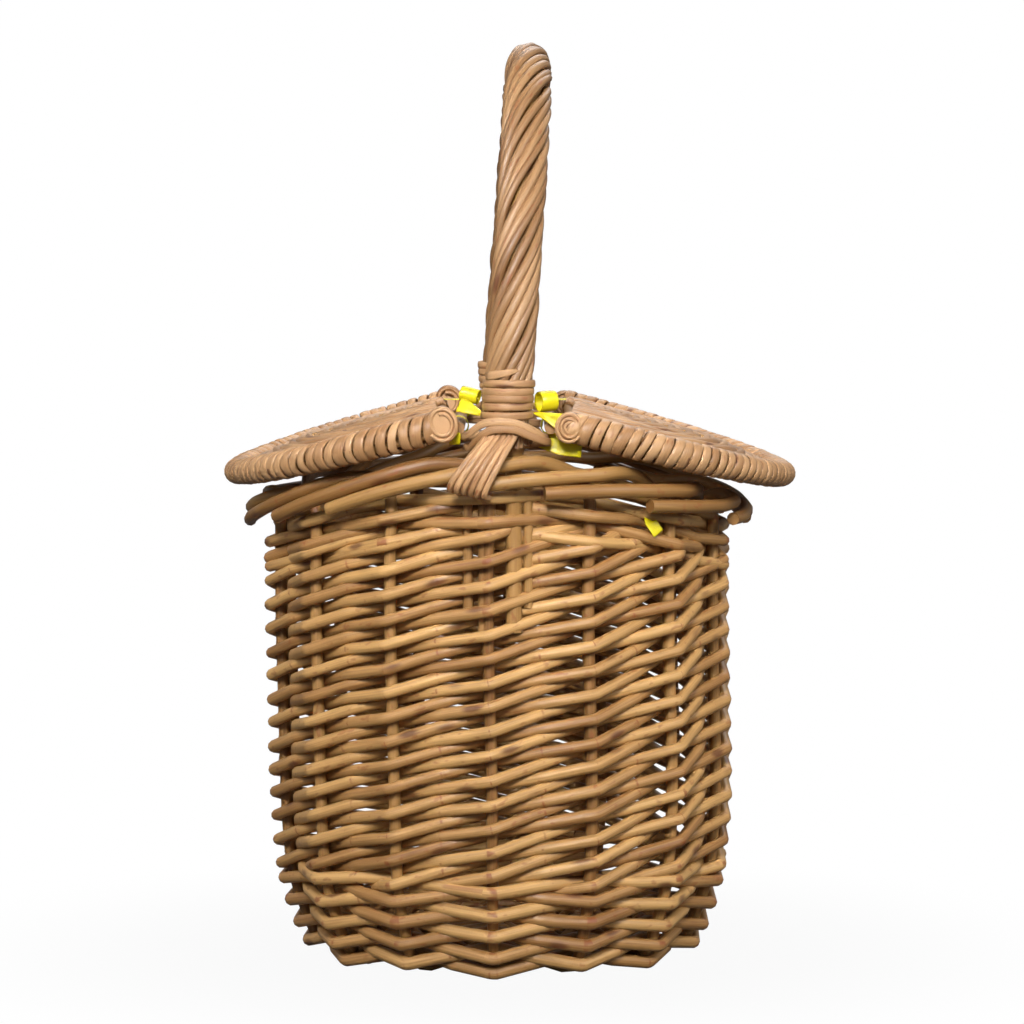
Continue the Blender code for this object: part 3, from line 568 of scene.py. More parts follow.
def lay_strips(name, strips):
    """Lays flat strips, each a line of points with the direction that its face looks in.

    A strip's section is a low dome with rounded edges. Its widths and thicknesses go point by point.
    """
    data = bmesh.new()
    lengths = data.loops.layers.uv.new("UVMap")
    tones = data.verts.layers.float.new("tone")
    for points, outs, widths, thicknesses, closed in strips:
        tone = random.random()
        rings = []
        run = [0.0]
        for i, point in enumerate(points):
            before = points[i - 1] if i > 0 or closed else point
            after = points[(i + 1) % len(points)] if i < len(points) - 1 or closed else point
            along = (after - before).normalized()
            out = (outs[i] - along * outs[i].dot(along)).normalized()
            across = along.cross(out)
            ring = []
            for wide, high in STRIP_SECTION:
                place = point + across * (wide * widths[i] / 2) + out * (high * thicknesses[i] / 2)
                corner = data.verts.new(place)
                corner[tones] = tone
                ring.append(corner)
            rings.append(ring)
            if i > 0:
                run.append(run[-1] + (point - points[i - 1]).length)
        pairs = [(i, i + 1) for i in range(len(rings) - 1)]
        if closed:
            pairs.append((len(rings) - 1, 0))
            run.append(run[-1] + (points[0] - points[-1]).length)
        count = len(STRIP_SECTION)
        for first, second in pairs:
            start, end = run[first], run[first + 1]
            for i in range(count):
                j = (i + 1) % count
                face = data.faces.new((rings[first][i], rings[second][i], rings[second][j], rings[first][j]))
                face.smooth = True
                turns = (i / count, i / count, (i + 1) / count, (i + 1) / count)
                for loop, length, turn in zip(face.loops, (start, end, end, start), turns):
                    loop[lengths].uv = (length, turn)
        if not closed:
            data.faces.new(rings[0]).material_index = 1
            data.faces.new(reversed(rings[-1])).material_index = 1
    bmesh.ops.recalc_face_normals(data, faces=data.faces)
    mesh = bpy.data.meshes.new(name)
    data.to_mesh(mesh)
    data.free()
    piece = bpy.data.objects.new(name, mesh)
    bpy.context.collection.objects.link(piece)
    return piece


def dress(piece, body, slot, materials, *nodes):
    """Gives a piece its finish and the body that it rides on, and hides the solids that it stands for."""
    piece.data.materials.clear()
    for made in materials:
        piece.data.materials.append(made)
    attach(piece, body)
    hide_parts(*nodes)


# Finishes

# How often each pattern of the willow repeats in a metre of rod and in a turn round it
WILLOW_SCALES = {
    "streak": (1 / 0.040, 18.0, 1.0),
    "drift": (1 / 0.050, 2.2, 1.0),
    "scar": (1 / 0.026, 1.9, 1.0),
    "fleck": (1 / 0.006, 6.0, 1.0),
}
ROD_APART = 37.0
DRIFT_WEIGHT = 0.55
TONE_WEIGHT = 0.50
STREAK_WEIGHT = 1.0
WOBBLE = 0.16
GRIT_SIZE = 0.0012
RIBBON_RIBS = 26.0
# Darker yellow painted into the grooves of the ribbon's ribs: painted shade
RIBBON_GROOVE_SHADE = "#D2BE10"


def add_node(tree, kind, settings=None, values=None, links=None):
    """Adds a node with its settings, its sockets' values and its links."""
    node = tree.nodes.new(kind)
    for name, value in (settings or {}).items():
        setattr(node, name, value)
    for socket, value in (values or {}).items():
        node.inputs[socket].default_value = value
    for socket, source in (links or {}).items():
        tree.links.new(source, node.inputs[socket])
    return node


def new_material(name):
    made = bpy.data.materials.new(name)
    made.use_nodes = True
    return made, made.node_tree, made.node_tree.nodes["Principled BSDF"]


def willow(name, light, dark, roughness):
    """Buff willow, boiled and peeled, then varnished: honey rods with fine grain and brown bud scars.

    The grain runs along the rod in streaks about a millimetre apart. Bud scars come every few
    centimetres, and the wood is bruised reddish where a rod is kinked round a stake.
    """
    made, tree, shader = new_material(name)
    coordinate = add_node(tree, "ShaderNodeTexCoord")
    tone = add_node(tree, "ShaderNodeAttribute", {"attribute_name": "tone"})
    own = add_node(tree, "ShaderNodeMath", {"operation": "MULTIPLY"}, {1: ROD_APART},
                   {0: tone.outputs["Fac"]})
    shift = add_node(tree, "ShaderNodeCombineXYZ", links={"X": own.outputs[0], "Z": own.outputs[0]})
    placed = {}
    for kind, scale in WILLOW_SCALES.items():
        scaled = add_node(tree, "ShaderNodeVectorMath", {"operation": "MULTIPLY"}, {1: scale},
                          {0: coordinate.outputs["UV"]})
        placed[kind] = add_node(tree, "ShaderNodeVectorMath", {"operation": "ADD"},
                                links={0: scaled.outputs[0], 1: shift.outputs[0]})
    streak = add_node(tree, "ShaderNodeTexNoise", values={"Scale": 1.0, "Detail": 4.0, "Roughness": 0.65},
                      links={"Vector": placed["streak"].outputs[0]})
    drift = add_node(tree, "ShaderNodeTexNoise", values={"Scale": 1.0, "Detail": 2.0},
                     links={"Vector": placed["drift"].outputs[0]})
    wobble = add_node(tree, "ShaderNodeMix", {"data_type": "VECTOR"}, {"Factor": WOBBLE},
                      {4: placed["scar"].outputs[0], 5: streak.outputs["Color"]})
    scar = add_node(tree, "ShaderNodeTexVoronoi", {"feature": "F1"}, {"Scale": 1.0, "Randomness": 1.0},
                    {"Vector": wobble.outputs[1]})
    scar_mask = add_node(tree, "ShaderNodeMapRange", {"interpolation_type": "SMOOTHSTEP"},
                         {"From Min": 0.24, "From Max": 0.08, "To Min": 0.0, "To Max": 0.8},
                         {"Value": scar.outputs["Distance"]})

    drifted = add_node(tree, "ShaderNodeMath", {"operation": "MULTIPLY"}, {1: DRIFT_WEIGHT},
                       {0: drift.outputs["Fac"]})
    mixed = add_node(tree, "ShaderNodeMath", {"operation": "MULTIPLY_ADD"}, {1: TONE_WEIGHT},
                     {0: tone.outputs["Fac"], 2: drifted.outputs[0]})
    grained = add_node(tree, "ShaderNodeMath", {"operation": "MULTIPLY_ADD"}, {1: STREAK_WEIGHT},
                       {0: streak.outputs["Fac"], 2: mixed.outputs[0]})
    lightness = add_node(tree, "ShaderNodeMapRange", values={"From Min": 0.62, "From Max": 1.38},
                         links={"Value": grained.outputs[0]})
    body = add_node(tree, "ShaderNodeMix", {"data_type": "RGBA"}, {6: (*dark, 1), 7: (*light, 1)},
                    {"Factor": lightness.outputs[0]})
    fleck = add_node(tree, "ShaderNodeTexNoise", values={"Scale": 1.0, "Detail": 1.0},
                     links={"Vector": placed["fleck"].outputs[0]})
    fleck_mask = add_node(tree, "ShaderNodeMapRange",
                          values={"From Min": 0.64, "From Max": 0.74, "To Max": 0.5},
                          links={"Value": fleck.outputs["Fac"]})
    bend = add_node(tree, "ShaderNodeAttribute", {"attribute_name": "bend"})
    near_bend = add_node(tree, "ShaderNodeMapRange", {"interpolation_type": "SMOOTHSTEP"},
                         {"From Min": 0.55, "From Max": 1.0}, {"Value": bend.outputs["Fac"]})
    bruised = add_node(tree, "ShaderNodeMapRange",
                       values={"From Min": 0.47, "From Max": 0.64, "To Max": 0.8},
                       links={"Value": fleck.outputs["Fac"]})
    at_bend = add_node(tree, "ShaderNodeMath", {"operation": "MULTIPLY"},
                       links={0: near_bend.outputs[0], 1: bruised.outputs[0]})
    marks = add_node(tree, "ShaderNodeMath", {"operation": "MAXIMUM"},
                     links={0: fleck_mask.outputs[0], 1: at_bend.outputs[0]})
    flecked = add_node(tree, "ShaderNodeMix", {"data_type": "RGBA"}, {7: (*colours().fleck, 1)},
                       {"Factor": marks.outputs[0], 6: body.outputs[2]})
    scarred = add_node(tree, "ShaderNodeMix", {"data_type": "RGBA"}, {7: (*colours().knot, 1)},
                       {"Factor": scar_mask.outputs[0], 6: flecked.outputs[2]})
    tree.links.new(scarred.outputs[2], shader.inputs["Base Color"])
    rough = add_node(tree, "ShaderNodeMapRange",
                     values={"To Min": roughness - 0.08, "To Max": roughness + 0.14},
                     links={"Value": streak.outputs["Fac"]})
    tree.links.new(rough.outputs[0], shader.inputs["Roughness"])
    bump = add_node(tree, "ShaderNodeBump", values={"Strength": 0.6, "Distance": 0.0004},
                    links={"Height": streak.outputs["Fac"]})
    tree.links.new(bump.outputs[0], shader.inputs["Normal"])
    shader.inputs["IOR"].default_value = 1.5
    shader.inputs["Coat Weight"].default_value = 0.12
    shader.inputs["Coat Roughness"].default_value = 0.35
    return made


def cut_willow():
    """The sawn end of a rod: dry pale wood round a darker pith, matt and a little dusty."""
    made, tree, shader = new_material("Sawn willow")
    coordinate = add_node(tree, "ShaderNodeTexCoord")
    grit = add_node(tree, "ShaderNodeTexNoise", values={"Scale": 1 / GRIT_SIZE, "Detail": 2.0},
                    links={"Vector": coordinate.outputs["Object"]})
    tint = add_node(tree, "ShaderNodeMix", {"data_type": "RGBA"},
                    {6: (*colours().stake_dark, 1), 7: (*colours().cut, 1)}, {"Factor": grit.outputs["Fac"]})
    tree.links.new(tint.outputs[2], shader.inputs["Base Color"])
    shader.inputs["Roughness"].default_value = 0.8
    return made


def ribbon_plastic():
    """Yellow polypropylene gift ribbon, extruded and drawn: glossy, with fine lengthwise ribs, their grooves
    painted a darker yellow as painted shade.
    """
    made, tree, shader = new_material("Drawn polypropylene ribbon")
    coordinate = add_node(tree, "ShaderNodeTexCoord")
    placed = add_node(tree, "ShaderNodeVectorMath", {"operation": "MULTIPLY"}, {1: (0.0, RIBBON_RIBS, 0.0)},
                      {0: coordinate.outputs["UV"]})
    ribs = add_node(tree, "ShaderNodeTexWave", {"bands_direction": "Y"}, {"Scale": 1.0},
                    {"Vector": placed.outputs[0]})
    bump = add_node(tree, "ShaderNodeBump", values={"Strength": 0.25, "Distance": 0.0002},
                    links={"Height": ribs.outputs["Fac"]})
    tree.links.new(bump.outputs[0], shader.inputs["Normal"])
    # The ribs' grooves take the darker yellow: painted shade that follows the bump
    shade = add_node(tree, "ShaderNodeMix", {"data_type": "RGBA"},
                     {6: (*linear(RIBBON_GROOVE_SHADE), 1), 7: (*colours().ribbon, 1)},
                     {"Factor": ribs.outputs["Fac"]})
    tree.links.new(shade.outputs[2], shader.inputs["Base Color"])
    shader.inputs["Roughness"].default_value = 0.22
    shader.inputs["Subsurface Weight"].default_value = 0.1
    shader.inputs["Subsurface Radius"].default_value = (0.002, 0.002, 0.0005)
    return made


FINISHES = {}


def finishes():
    """The basket's finishes by name, made once."""
    if not FINISHES:
        own = colours()
        FINISHES["side"] = willow("Varnished buff willow, side rods", own.honey, own.honey_dark, 0.40)
        FINISHES["stake"] = willow("Varnished buff willow, stakes", own.stake, own.stake_dark, 0.42)
        FINISHES["pale"] = willow("Varnished buff willow, skein", own.pale, own.pale_dark, 0.38)
        FINISHES["rope"] = willow("Varnished buff willow, roping", own.rope, own.rope_dark, 0.38)
        FINISHES["cut"] = cut_willow()
        FINISHES["ribbon"] = ribbon_plastic()
    return FINISHES


def rods_of(kind):
    return [finishes()[kind], finishes()["cut"]]


# Base, stakes, weave and border


def stake_line(number):
    """One upright with a thickness share at each point, from its foot to its end in the border."""
    angle = stake_angle(number)
    points = []
    for radius_share, height_share in zip(WALL_RADIUS_SHARES, WALL_HEIGHT_SHARES):
        points.append(on_body(WALL_RADIUS * radius_share, angle, WALL_HEIGHT * height_share))
    shares = [1.0] * len(points)
    last = BORDER_STEPS[-1]
    steps = [i * BORDER_STEP for i in range(int(last / BORDER_STEP) + 1)] + [last]
    cut = last - random.uniform(0, BORDER_CUT_EARLY)
    for step in steps:
        if step > cut:
            break
        around = stake_angle(number - step)
        out = interpolate(BORDER_STEPS, BORDER_OUT_SHARES, step) * BORDER_ROD
        up = interpolate(BORDER_STEPS, BORDER_UP_SHARES, step) * BORDER_ROD
        past_leg = max(0, abs(beside_leg(number - step)) - LEG_CLEAR_REACH)
        near = max(0, 1 - past_leg / LEG_CLEAR_FADE)
        if step > 0 and near > 0:
            wanted = min(out, -LEG_CLEARANCE) if step < BORDER_COMES_OUT else max(out, LEG_CLEARANCE)
            out += (wanted - out) * near
        points.append(on_body(WALL_RADIUS + out, around, border_height(around) + up))
        shares.append(1.0 + BORDER_SWELL_SHARE * min(1, step) - BORDER_TAPER_SHARE * max(0, step - 2))
    line = rounded(points, CURVE_STEPS)
    places = [i * CURVE_STEPS for i in range(len(shares))]
    return line, [interpolate(places, shares, i) for i in range(len(line))]


def build_stakes():
    for number in range(STAKES):
        line, shares = stake_line(number)
        butt = random.uniform(*STAKE_BUTT_SHARES)
        rod = (line, [butt * share for share in shares], False)
        piece = lay_rods(f"stake_rod_{number + 1:02d}", [rod], sizes().stake_radius)
        dress(piece, "basket", "stake_willow", rods_of("stake"), f"stake_{number + 1:02d}")


def weave_offset():
    return sizes().stake_radius + sizes().weaver_radius * WEAVE_PRESS_SHARE


def weave_stations(stake, in_front):
    """Place, share of the way forward or back, and drop of a rod as it passes a stake and runs on."""
    if not in_front:
        return [(stake, 1, WEAVE_DROPS["behind"]), (stake + 0.5, 0, WEAVE_DROPS["before"])]
    low = WEAVE_DROPS["front"]
    return [
        (stake - WEAVE_KINK, 1 - WEAVE_KINK, low),
        (stake, 1, low - WEAVE_KINK_DROP),
        (stake + WEAVE_KINK, 1 - WEAVE_KINK, low),
        (stake + 0.5, 0, WEAVE_DROPS["after"]),
    ]


def half_weaver(start, lag, first_front, begin):
    """One half of a side weaver: up to the right, in front of one stake and behind the next.

    It is flat before it passes in front of a stake and steep after it, with a sharp kink between.
    Both its ends are tucked in behind the other rods.
    """
    dip = sizes().weaver_dip
    front = first_front
    stake = start + 1
    while stake - 1 >= start + begin:
        stake -= 1
        front = -front
    hidden = WEAVE_START + WEAVE_PITCH * begin - lag
    inside = wall_radius(hidden) - weave_offset() * WEAVE_TUCK_SHARE
    points = [on_body(inside, stake_angle(start + begin), hidden)]
    while True:
        slip = random.uniform(-WEAVE_SLIP, WEAVE_SLIP)
        for place, forward, drop in weave_stations(stake, front > 0):
            angle = stake_angle(place)
            height = WEAVE_START + WEAVE_PITCH * (place - start) - lag + drop * dip + slip
            near_leg = abs(beside_leg(place)) < LEG_REACH and height > LEG_FOOT_HEIGHT
            reach = weave_offset() + (LEG_BULGE if near_leg else 0)
            if height > border_height(angle) - WEAVE_BELOW_BORDER:
                points.append(on_body(wall_radius(height) - weave_offset(), angle, height))
                return points
            points.append(on_body(wall_radius(height) + front * forward * reach, angle, height))
        front = -front
        stake += 1


def build_side_weavers():
    for number in range(STAKES):
        odd = number % 2
        first_front = 1 if odd else -1
        rods = []
        for lag, front, begin in zip((0, WEAVE_PITCH / 2), (first_front, -first_front), WEAVE_BEGINS[odd]):
            line = half_weaver(number, lag, front, begin)
            butt = random.uniform(*WEAVER_BUTT_SHARES)
            phase = random.uniform(0, 6)
            waves = [math.sin(WEAVER_WAVE * i + phase) for i in range(len(line))]
            rods.append(crisp(line, [butt * (1 + WEAVER_WAVE_SHARE * wave) for wave in waves], False))
        piece = lay_rods(f"side_rod_{number + 1:02d}", rods, sizes().weaver_radius)
        dress(piece, "basket", "weaver_willow", rods_of("side"), f"side_weaver_{number + 1:02d}")


def profile_at(length):
    """Radius, height and outward normal of the wall's profile, a given length up from the foot."""
    corners = [
        (WALL_RADIUS * radius_share, WALL_HEIGHT * height_share)
        for radius_share, height_share in zip(WALL_RADIUS_SHARES, WALL_HEIGHT_SHARES)
    ]
    for low, high in zip(corners, corners[1:]):
        run = math.dist(low, high)
        if length <= run:
            share = length / run
            normal = ((high[1] - low[1]) / run, (low[0] - high[0]) / run)
            return low[0] + (high[0] - low[0]) * share, low[1] + (high[1] - low[1]) * share, normal
        length -= run


def woven_round(place_at, first_front):
    """One closed round that passes in front of one stake and behind the next, kinked at each."""
    points = []
    front = first_front
    for stake in range(STAKES):
        slip = random.uniform(-ROUND_SLIP, ROUND_SLIP)
        climb = ROUND_CLIMB if front > 0 else ROUND_FALL
        for part, forward, rise in ROUND_STATIONS:
            points.append(place_at(stake + part, front * forward, slip + rise * climb))
        front = -front
    butt = random.uniform(*ROUND_BUTT_SHARES)
    shares = [butt * (1 + ROUND_WAVE_SHARE * math.sin(ROUND_WAVE * i)) for i in range(len(points))]
    return crisp(points, shares, True)


def build_upsett():
    """The rounds at the bend, which kink down in front of each stake, the lowest ones the least."""
    own = sizes()
    rounds = {"a": [], "b": []}
    for number in range(UPSETT_ROUNDS):
        steep = UPSETT_STEEP + UPSETT_STEEPER * number / UPSETT_ROUNDS
        if number >= UPSETT_ROUNDS - UPSETT_FLAT_ROUNDS:
            steep = UPSETT_FLAT_STEEP

        def place_at(place, forward, slip, number=number, steep=steep):
            drop = max(0, forward) * UPSETT_DROP_FRONT - max(0, -forward) * UPSETT_RISE_BEHIND
            length = UPSETT_TOP - UPSETT_SPACING * number - drop * own.weaver_dip * steep + slip
            radius, height, normal = profile_at(length)
            radius += normal[0] * forward * weave_offset()
            height += normal[1] * forward * weave_offset()
            return on_body(radius, stake_angle(place), max(height, own.weaver_radius * UPSETT_REST_SHARE))

        even = number % 2 == 0
        rounds["a" if even else "b"].append(woven_round(place_at, 1 if even else -1))
    for name, rods in rounds.items():
        piece = lay_rods(f"upsett_rod_{name}", rods, own.weaver_radius * UPSETT_ROD_SHARE)
        dress(piece, "basket", "weaver_willow", rods_of("side"), f"upsett_weaver_{name}")


def build_top_rounds():
    """The last rounds, which follow the rise and fall of the border."""
    own = sizes()
    rounds = {"upper": [], "lower": []}
    for number, below in enumerate(TOP_ROUNDS_BELOW):

        def place_at(place, forward, slip, below=below):
            angle = stake_angle(place)
            near_leg = abs(beside_leg(place)) < LEG_REACH
            reach = weave_offset() + (LEG_BULGE_ABOVE if near_leg else 0)
            height = border_height(angle) - below - forward * own.weaver_dip * TOP_ROUND_DROP + slip
            return on_body(WALL_RADIUS + forward * reach, angle, height)

        even = number % 2 == 0
        rounds["upper" if even else "lower"].append(woven_round(place_at, 1 if even else -1))
    for name, rods in rounds.items():
        piece = lay_rods(f"top_rod_{name}", rods, own.weaver_radius)
        dress(piece, "basket", "weaver_willow", rods_of("side"), f"top_round_{name}")


def base_height(radius):
    return BASE_REST + BASE_CROWN * max(0, 1 - (radius / BASE_CROWN_REACH) ** 2)


def build_base():
    """Two groups of sticks that cross and fan out, and two rods woven round them in a spiral."""
    rods = []
    for count, pointing in SPOKES:
        turn = Matrix.Rotation(stake_angle(pointing), 4, "Z")
        for i in range(count):
            place = i - (count - 1) / 2
            across = place * SPOKE_SPACING
            ends = [
                polar(SPOKE_REACH, math.pi - place * INTERVAL, base_height(SPOKE_REACH)),
                Vector((-SPOKE_CROSSING, across, base_height(0))),
                Vector((SPOKE_CROSSING, across, base_height(0))),
                polar(SPOKE_REACH, place * INTERVAL, base_height(SPOKE_REACH)),
            ]
            line = rounded([turn @ point + BODY_SHIFT for point in ends], 5)
            rods.append((line, [1.0] * len(line), False))
    piece = lay_rods("base_rods", rods, SPOKE_RADIUS)
    dress(piece, "basket", "base_willow", rods_of("stake"), "base_sticks")

    for name, shift, first_side in (("a", 0.0, 1), ("b", BASE_WEAVE_PITCH / 2, -1)):
        points = []
        side = first_side
        for place in range(int((BASE_WEAVE_END - BASE_WEAVE_START - shift) / BASE_WEAVE_PITCH * STAKES)):
            radius = BASE_WEAVE_START + shift + BASE_WEAVE_PITCH * place / STAKES
            angle = stake_angle(place)
            kink = BASE_KINK / radius
            for around, share in ((angle - kink, 1), (angle + kink, 1), (stake_angle(place + 0.5), 0)):
                points.append(on_body(radius, around, base_height(radius) + side * share * BASE_OFFSET))
            side = -side
        piece = lay_rods(f"base_rod_{name}", [(points, [1.0] * len(points), False)], sizes().base_radius)
        dress(piece, "basket", "weaver_willow", rods_of("side"), f"base_weaver_{name}")


# Handle


def bow_frames():
    """Points along the bow's roping with two directions across it, and the length run so far."""
    front = [leg_centre(BINDING_LOW), leg_corners()[3]]
    arch = [bow_point(math.pi * i / BOW_STATIONS) for i in range(1, BOW_STATIONS)]
    line = front + arch + list(reversed(to_back(front)))
    frames = []
    run = 0.0
    for i, point in enumerate(line):
        if i > 0:
            run += (point - line[i - 1]).length
        along = (line[min(i + 1, len(line) - 1)] - line[max(i - 1, 0)]).normalized()
        across = Vector((1, 0, 0))
        across = (across - along * across.dot(along)).normalized()
        frames.append((point, across, along.cross(across), run))
    return frames


def build_core(frames):
    """The handle's stick from leg to leg, and the thin rods beside its feet inside the basket."""
    leg = leg_corners()[:3]
    core = leg + [point for point, across, side, run in frames] + list(reversed(to_back(leg)))
    shares = [CORE_LEG_SHARE] * 3 + [1.0] * len(frames) + [CORE_LEG_SHARE] * 3
    rods = [(core, shares, False)]
    for across_at, low in INNER_ENDS:
        front_y = -math.sqrt(WALL_RADIUS ** 2 - across_at ** 2)
        heights = (low, INNER_END_MIDDLE, BORDER_HEIGHT + SADDLE_RISE)
        line = [Vector((across_at, front_y, height)) for height in heights]
        rods.append((line, [INNER_END_SHARE] * 3, False))
        rods.append((to_back(line), [INNER_END_SHARE] * 3, False))
    piece = lay_rods("handle_stick", rods, CORE_RADIUS)
    dress(piece, "basket", "core_willow", rods_of("stake"), "handle_core")


def roping_strand(frames, first, wander, fat):
    """One rod of the roping, which turns round the core, wanders a little and thins at its feet."""
    lay = sizes().rope_lay
    whole = frames[-1][3]
    points = []
    shares = []
    for point, across, side, run in frames:
        part = run / whole
        swell = min(1, 2 * abs(math.sin(2 * math.pi * part))) ** 0.5
        ripple = math.sin(ROPING_RIPPLE_WAVE * part + wander)
        radius = ROPING_RADIUS + ROPING_SWELL * swell + ROPING_RIPPLE * ripple
        astray = ROPING_WANDER * math.sin(ROPING_WANDER_WAVE * part + wander)
        turn = first + 2 * math.pi * run / lay + astray
        points.append(point + (across * math.cos(turn) + side * math.sin(turn)) * radius)
        up_leg = min(1, 4 * math.sin(math.pi * part))
        foot = STRAND_FOOT_SHARE + (1 - STRAND_FOOT_SHARE) * up_leg
        shares.append(fat * foot * (1 + STRAND_WAVE_SHARE * math.sin(STRAND_WAVE * part + wander)))
    return rounded(points, 2), [share for share in shares for half in (0, 1)][:-1], False


def build_handle():
    own = sizes()
    frames = bow_frames()
    build_core(frames)
    strands = []
    for strand in range(own.rope_strands):
        first = 2 * math.pi * strand / own.rope_strands
        wander = random.uniform(0, 2 * math.pi)
        fat = random.uniform(*STRAND_BUTT_SHARES)
        strands.append(roping_strand(frames, first, wander, fat))
    piece = lay_rods("handle_strands", strands, own.rope_strand_radius, 2)
    dress(piece, "basket", "pale_willow", rods_of("rope"), "handle_roping")


def turned_rods(rods, back):
    """The rods as they are, or turned half round to the back of the basket."""
    return [(to_back(points) if back else points, shares, closed) for points, shares, closed in rods]


def turned(strips, back):
    """The strips as they are, or turned half round to the back of the basket."""
    if not back:
        return strips
    return [(to_back(points), to_back(outs), *rest) for points, outs, *rest in strips]


def build_bindings():
    """Five flat turns of skein round the foot of the roping, and the end tucked in above them."""
    for name, back in (("front", False), ("back", True)):
        strips = []
        steps = 24
        for middle_height in BINDING_HEIGHTS:
            lean = random.uniform(-BINDING_LEAN, BINDING_LEAN)
            radius = BINDING_RADIUS * random.uniform(*BINDING_SIZE_SHARES)
            outs = [polar(1, 2 * math.pi * i / steps, 0) for i in range(steps)]
            points = [leg_centre(middle_height + lean * out.y) + out * radius for out in outs]
            strips.append((points, outs, [BINDING_WIDTH] * steps, [BINDING_THICKNESS] * steps, True))
        points = []
        outs = []
        count = len(BINDING_END_WIDTHS)
        for i in range(count):
            share = i / (count - 1)
            out = polar(1, math.radians(BINDING_END_START + BINDING_END_SWEEP * share), 0)
            rise = Vector((0, 0, BINDING_END_RISE * share))
            radius = BINDING_END_RADIUS - BINDING_END_TUCK * share
            points.append(leg_centre(BINDING_END_HEIGHT) + out * radius + rise)
            outs.append(out)
        strips.append((points, outs, BINDING_END_WIDTHS, [BINDING_END_THICKNESS] * count, False))
        piece = lay_strips(f"binding_{name}", turned(strips, back))
        dress(piece, "basket", "pale_willow", rods_of("pale"), f"handle_binding_{name}")


def build_tails():
    """The ends of the roping rods, side by side over the border and tucked under it."""
    for name, back in (("front", False), ("back", True)):
        foot = leg_centre(BINDING_LOW)
        border_front = -(WALL_RADIUS + TAIL_BORDER_SHARE * BORDER_ROD + TAIL_CLEARANCE)
        rods = []
        for number in range(TAILS):
            place = number / (TAILS - 1)
            top_x = TAIL_TOP_LEFT + TAIL_TOP_SPREAD * place
            low_x = TAIL_LOW_LEFT + TAIL_LOW_SPREAD * place
            low_height = TAIL_LOW_HEIGHT - TAIL_LOW_FALL * place
            drift = random.uniform(-TAIL_SLIP, TAIL_SLIP)
            front_y = border_front - TAIL_STAGGER * (number % 2)
            # A given route: out of the binding, over the border's top and under its front
            route = [
                Vector((top_x + 0.0030, foot.y - 0.0085, 0.2720)),
                Vector((top_x, foot.y - 0.0118, 0.2655)),
                Vector((top_x * 0.45 + low_x * 0.55 + drift, front_y - 0.0022, 0.2545 - 0.0016 * place)),
                Vector((low_x, front_y - 0.0036, low_height)),
                Vector((low_x - 0.0012, front_y - 0.0008, low_height - 0.0042)),
                Vector((low_x + 0.0010, front_y + 0.0044, low_height - 0.0050)),
            ]
            line = rounded(route, 5)
            fat = random.uniform(*TAIL_BUTT_SHARES)
            count = len(line)
            shares = [fat * (1 + TAIL_SWELL_SHARE * math.sin(math.pi * i / count)) for i in range(count)]
            rods.append((line, shares, False))
        piece = lay_rods(f"tails_{name}", turned_rods(rods, back), TAIL_RADIUS)
        dress(piece, "basket", "pale_willow", rods_of("pale"), f"handle_tails_{name}")


# Two given turns, each point across, out from the leg's middle and up
LASHING_TURNS = (
    ((-0.0188, -0.0010, 0.2640), (-0.0112, -0.0098, 0.2700), (-0.0050, -0.0126, 0.2716),
     (0.0040, -0.0126, 0.2712), (0.0118, -0.0097, 0.2682), (0.0180, -0.0030, 0.2644),
     (0.0190, 0.0060, 0.2630), (0.0, 0.0120, 0.2640), (-0.0190, 0.0060, 0.2640)),
    ((-0.0170, 0.0002, 0.2585), (-0.0120, -0.0098, 0.2640), (-0.0060, -0.0138, 0.2678),
     (0.0040, -0.0140, 0.2680), (0.0112, -0.0114, 0.2652), (0.0184, -0.0058, 0.2622),
     (0.0204, 0.0040, 0.2610), (0.0, 0.0120, 0.2600), (-0.0180, 0.0060, 0.2590)),
)


def build_lashings():
    """The two lowest turns of skein, which splay from the handle's foot to the hinge bars' ends."""
    for name, back in (("front", False), ("back", True)):
        middle = Vector((0, leg_centre(HINGE_HEIGHT).y, 0))
        strips = []
        for turn in LASHING_TURNS:
            corners = [Vector(corner) + middle for corner in turn]
            line = rounded(corners + corners[:1], 4)[:-1]
            outs = [Vector((point.x, point.y - middle.y, 0)).normalized() for point in line]
            count = len(line)
            strips.append((line, outs, [LASHING_WIDTH] * count, [LASHING_THICKNESS] * count, True))
        piece = lay_strips(f"lashing_{name}", turned(strips, back))
        dress(piece, "basket", "pale_willow", rods_of("pale"), f"hinge_lashing_{name}")


def even_line(half, count, place_at):
    """Points at even steps from minus half to half, through a function that places them."""
    return [place_at(-half + 2 * half * i / (count - 1)) for i in range(count)]


def build_hinge_bars():
    for name, side in (("left", -1), ("right", 1)):
        points = even_line(HINGE_BAR_HALF, 9, lambda along: Vector((side * HINGE_X, along, HINGE_HEIGHT)))
        piece = lay_rods(f"hinge_rod_{name}", [(points, [1.0] * len(points), False)], HINGE_BAR_RADIUS)
        dress(piece, "basket", "stake_willow", rods_of("stake"), f"{name}_hinge_bar")


# Lids


def edge_point(turn, reach):
    """A point of the right lid's edge, from its front corner at 0 round to its back corner at pi."""
    inboard = LID_CORNER_BEND * (1 - math.sin(turn)) ** 8
    return lid_point(reach * math.sin(turn) - inboard, -LID_HALF_WIDTH * math.cos(turn))


def edge_frames(count, reach):
    """Points round a lid's edge with the outward and upward directions there, and the length run."""
    up = lid_point(0, 0, 1) - lid_point(0, 0, 0)
    frames = []
    run = 0.0
    for i in range(count + 1):
        turn = math.pi * i / count
        point = edge_point(turn, reach)
        if frames:
            run += (point - frames[-1][0]).length
        along = (edge_point(turn + EDGE_AHEAD, reach) - point).normalized()
        frames.append((point, along.cross(up).normalized(), up, run, along))
    return frames


def mirrored(points, left):
    return to_back(points) if left else points


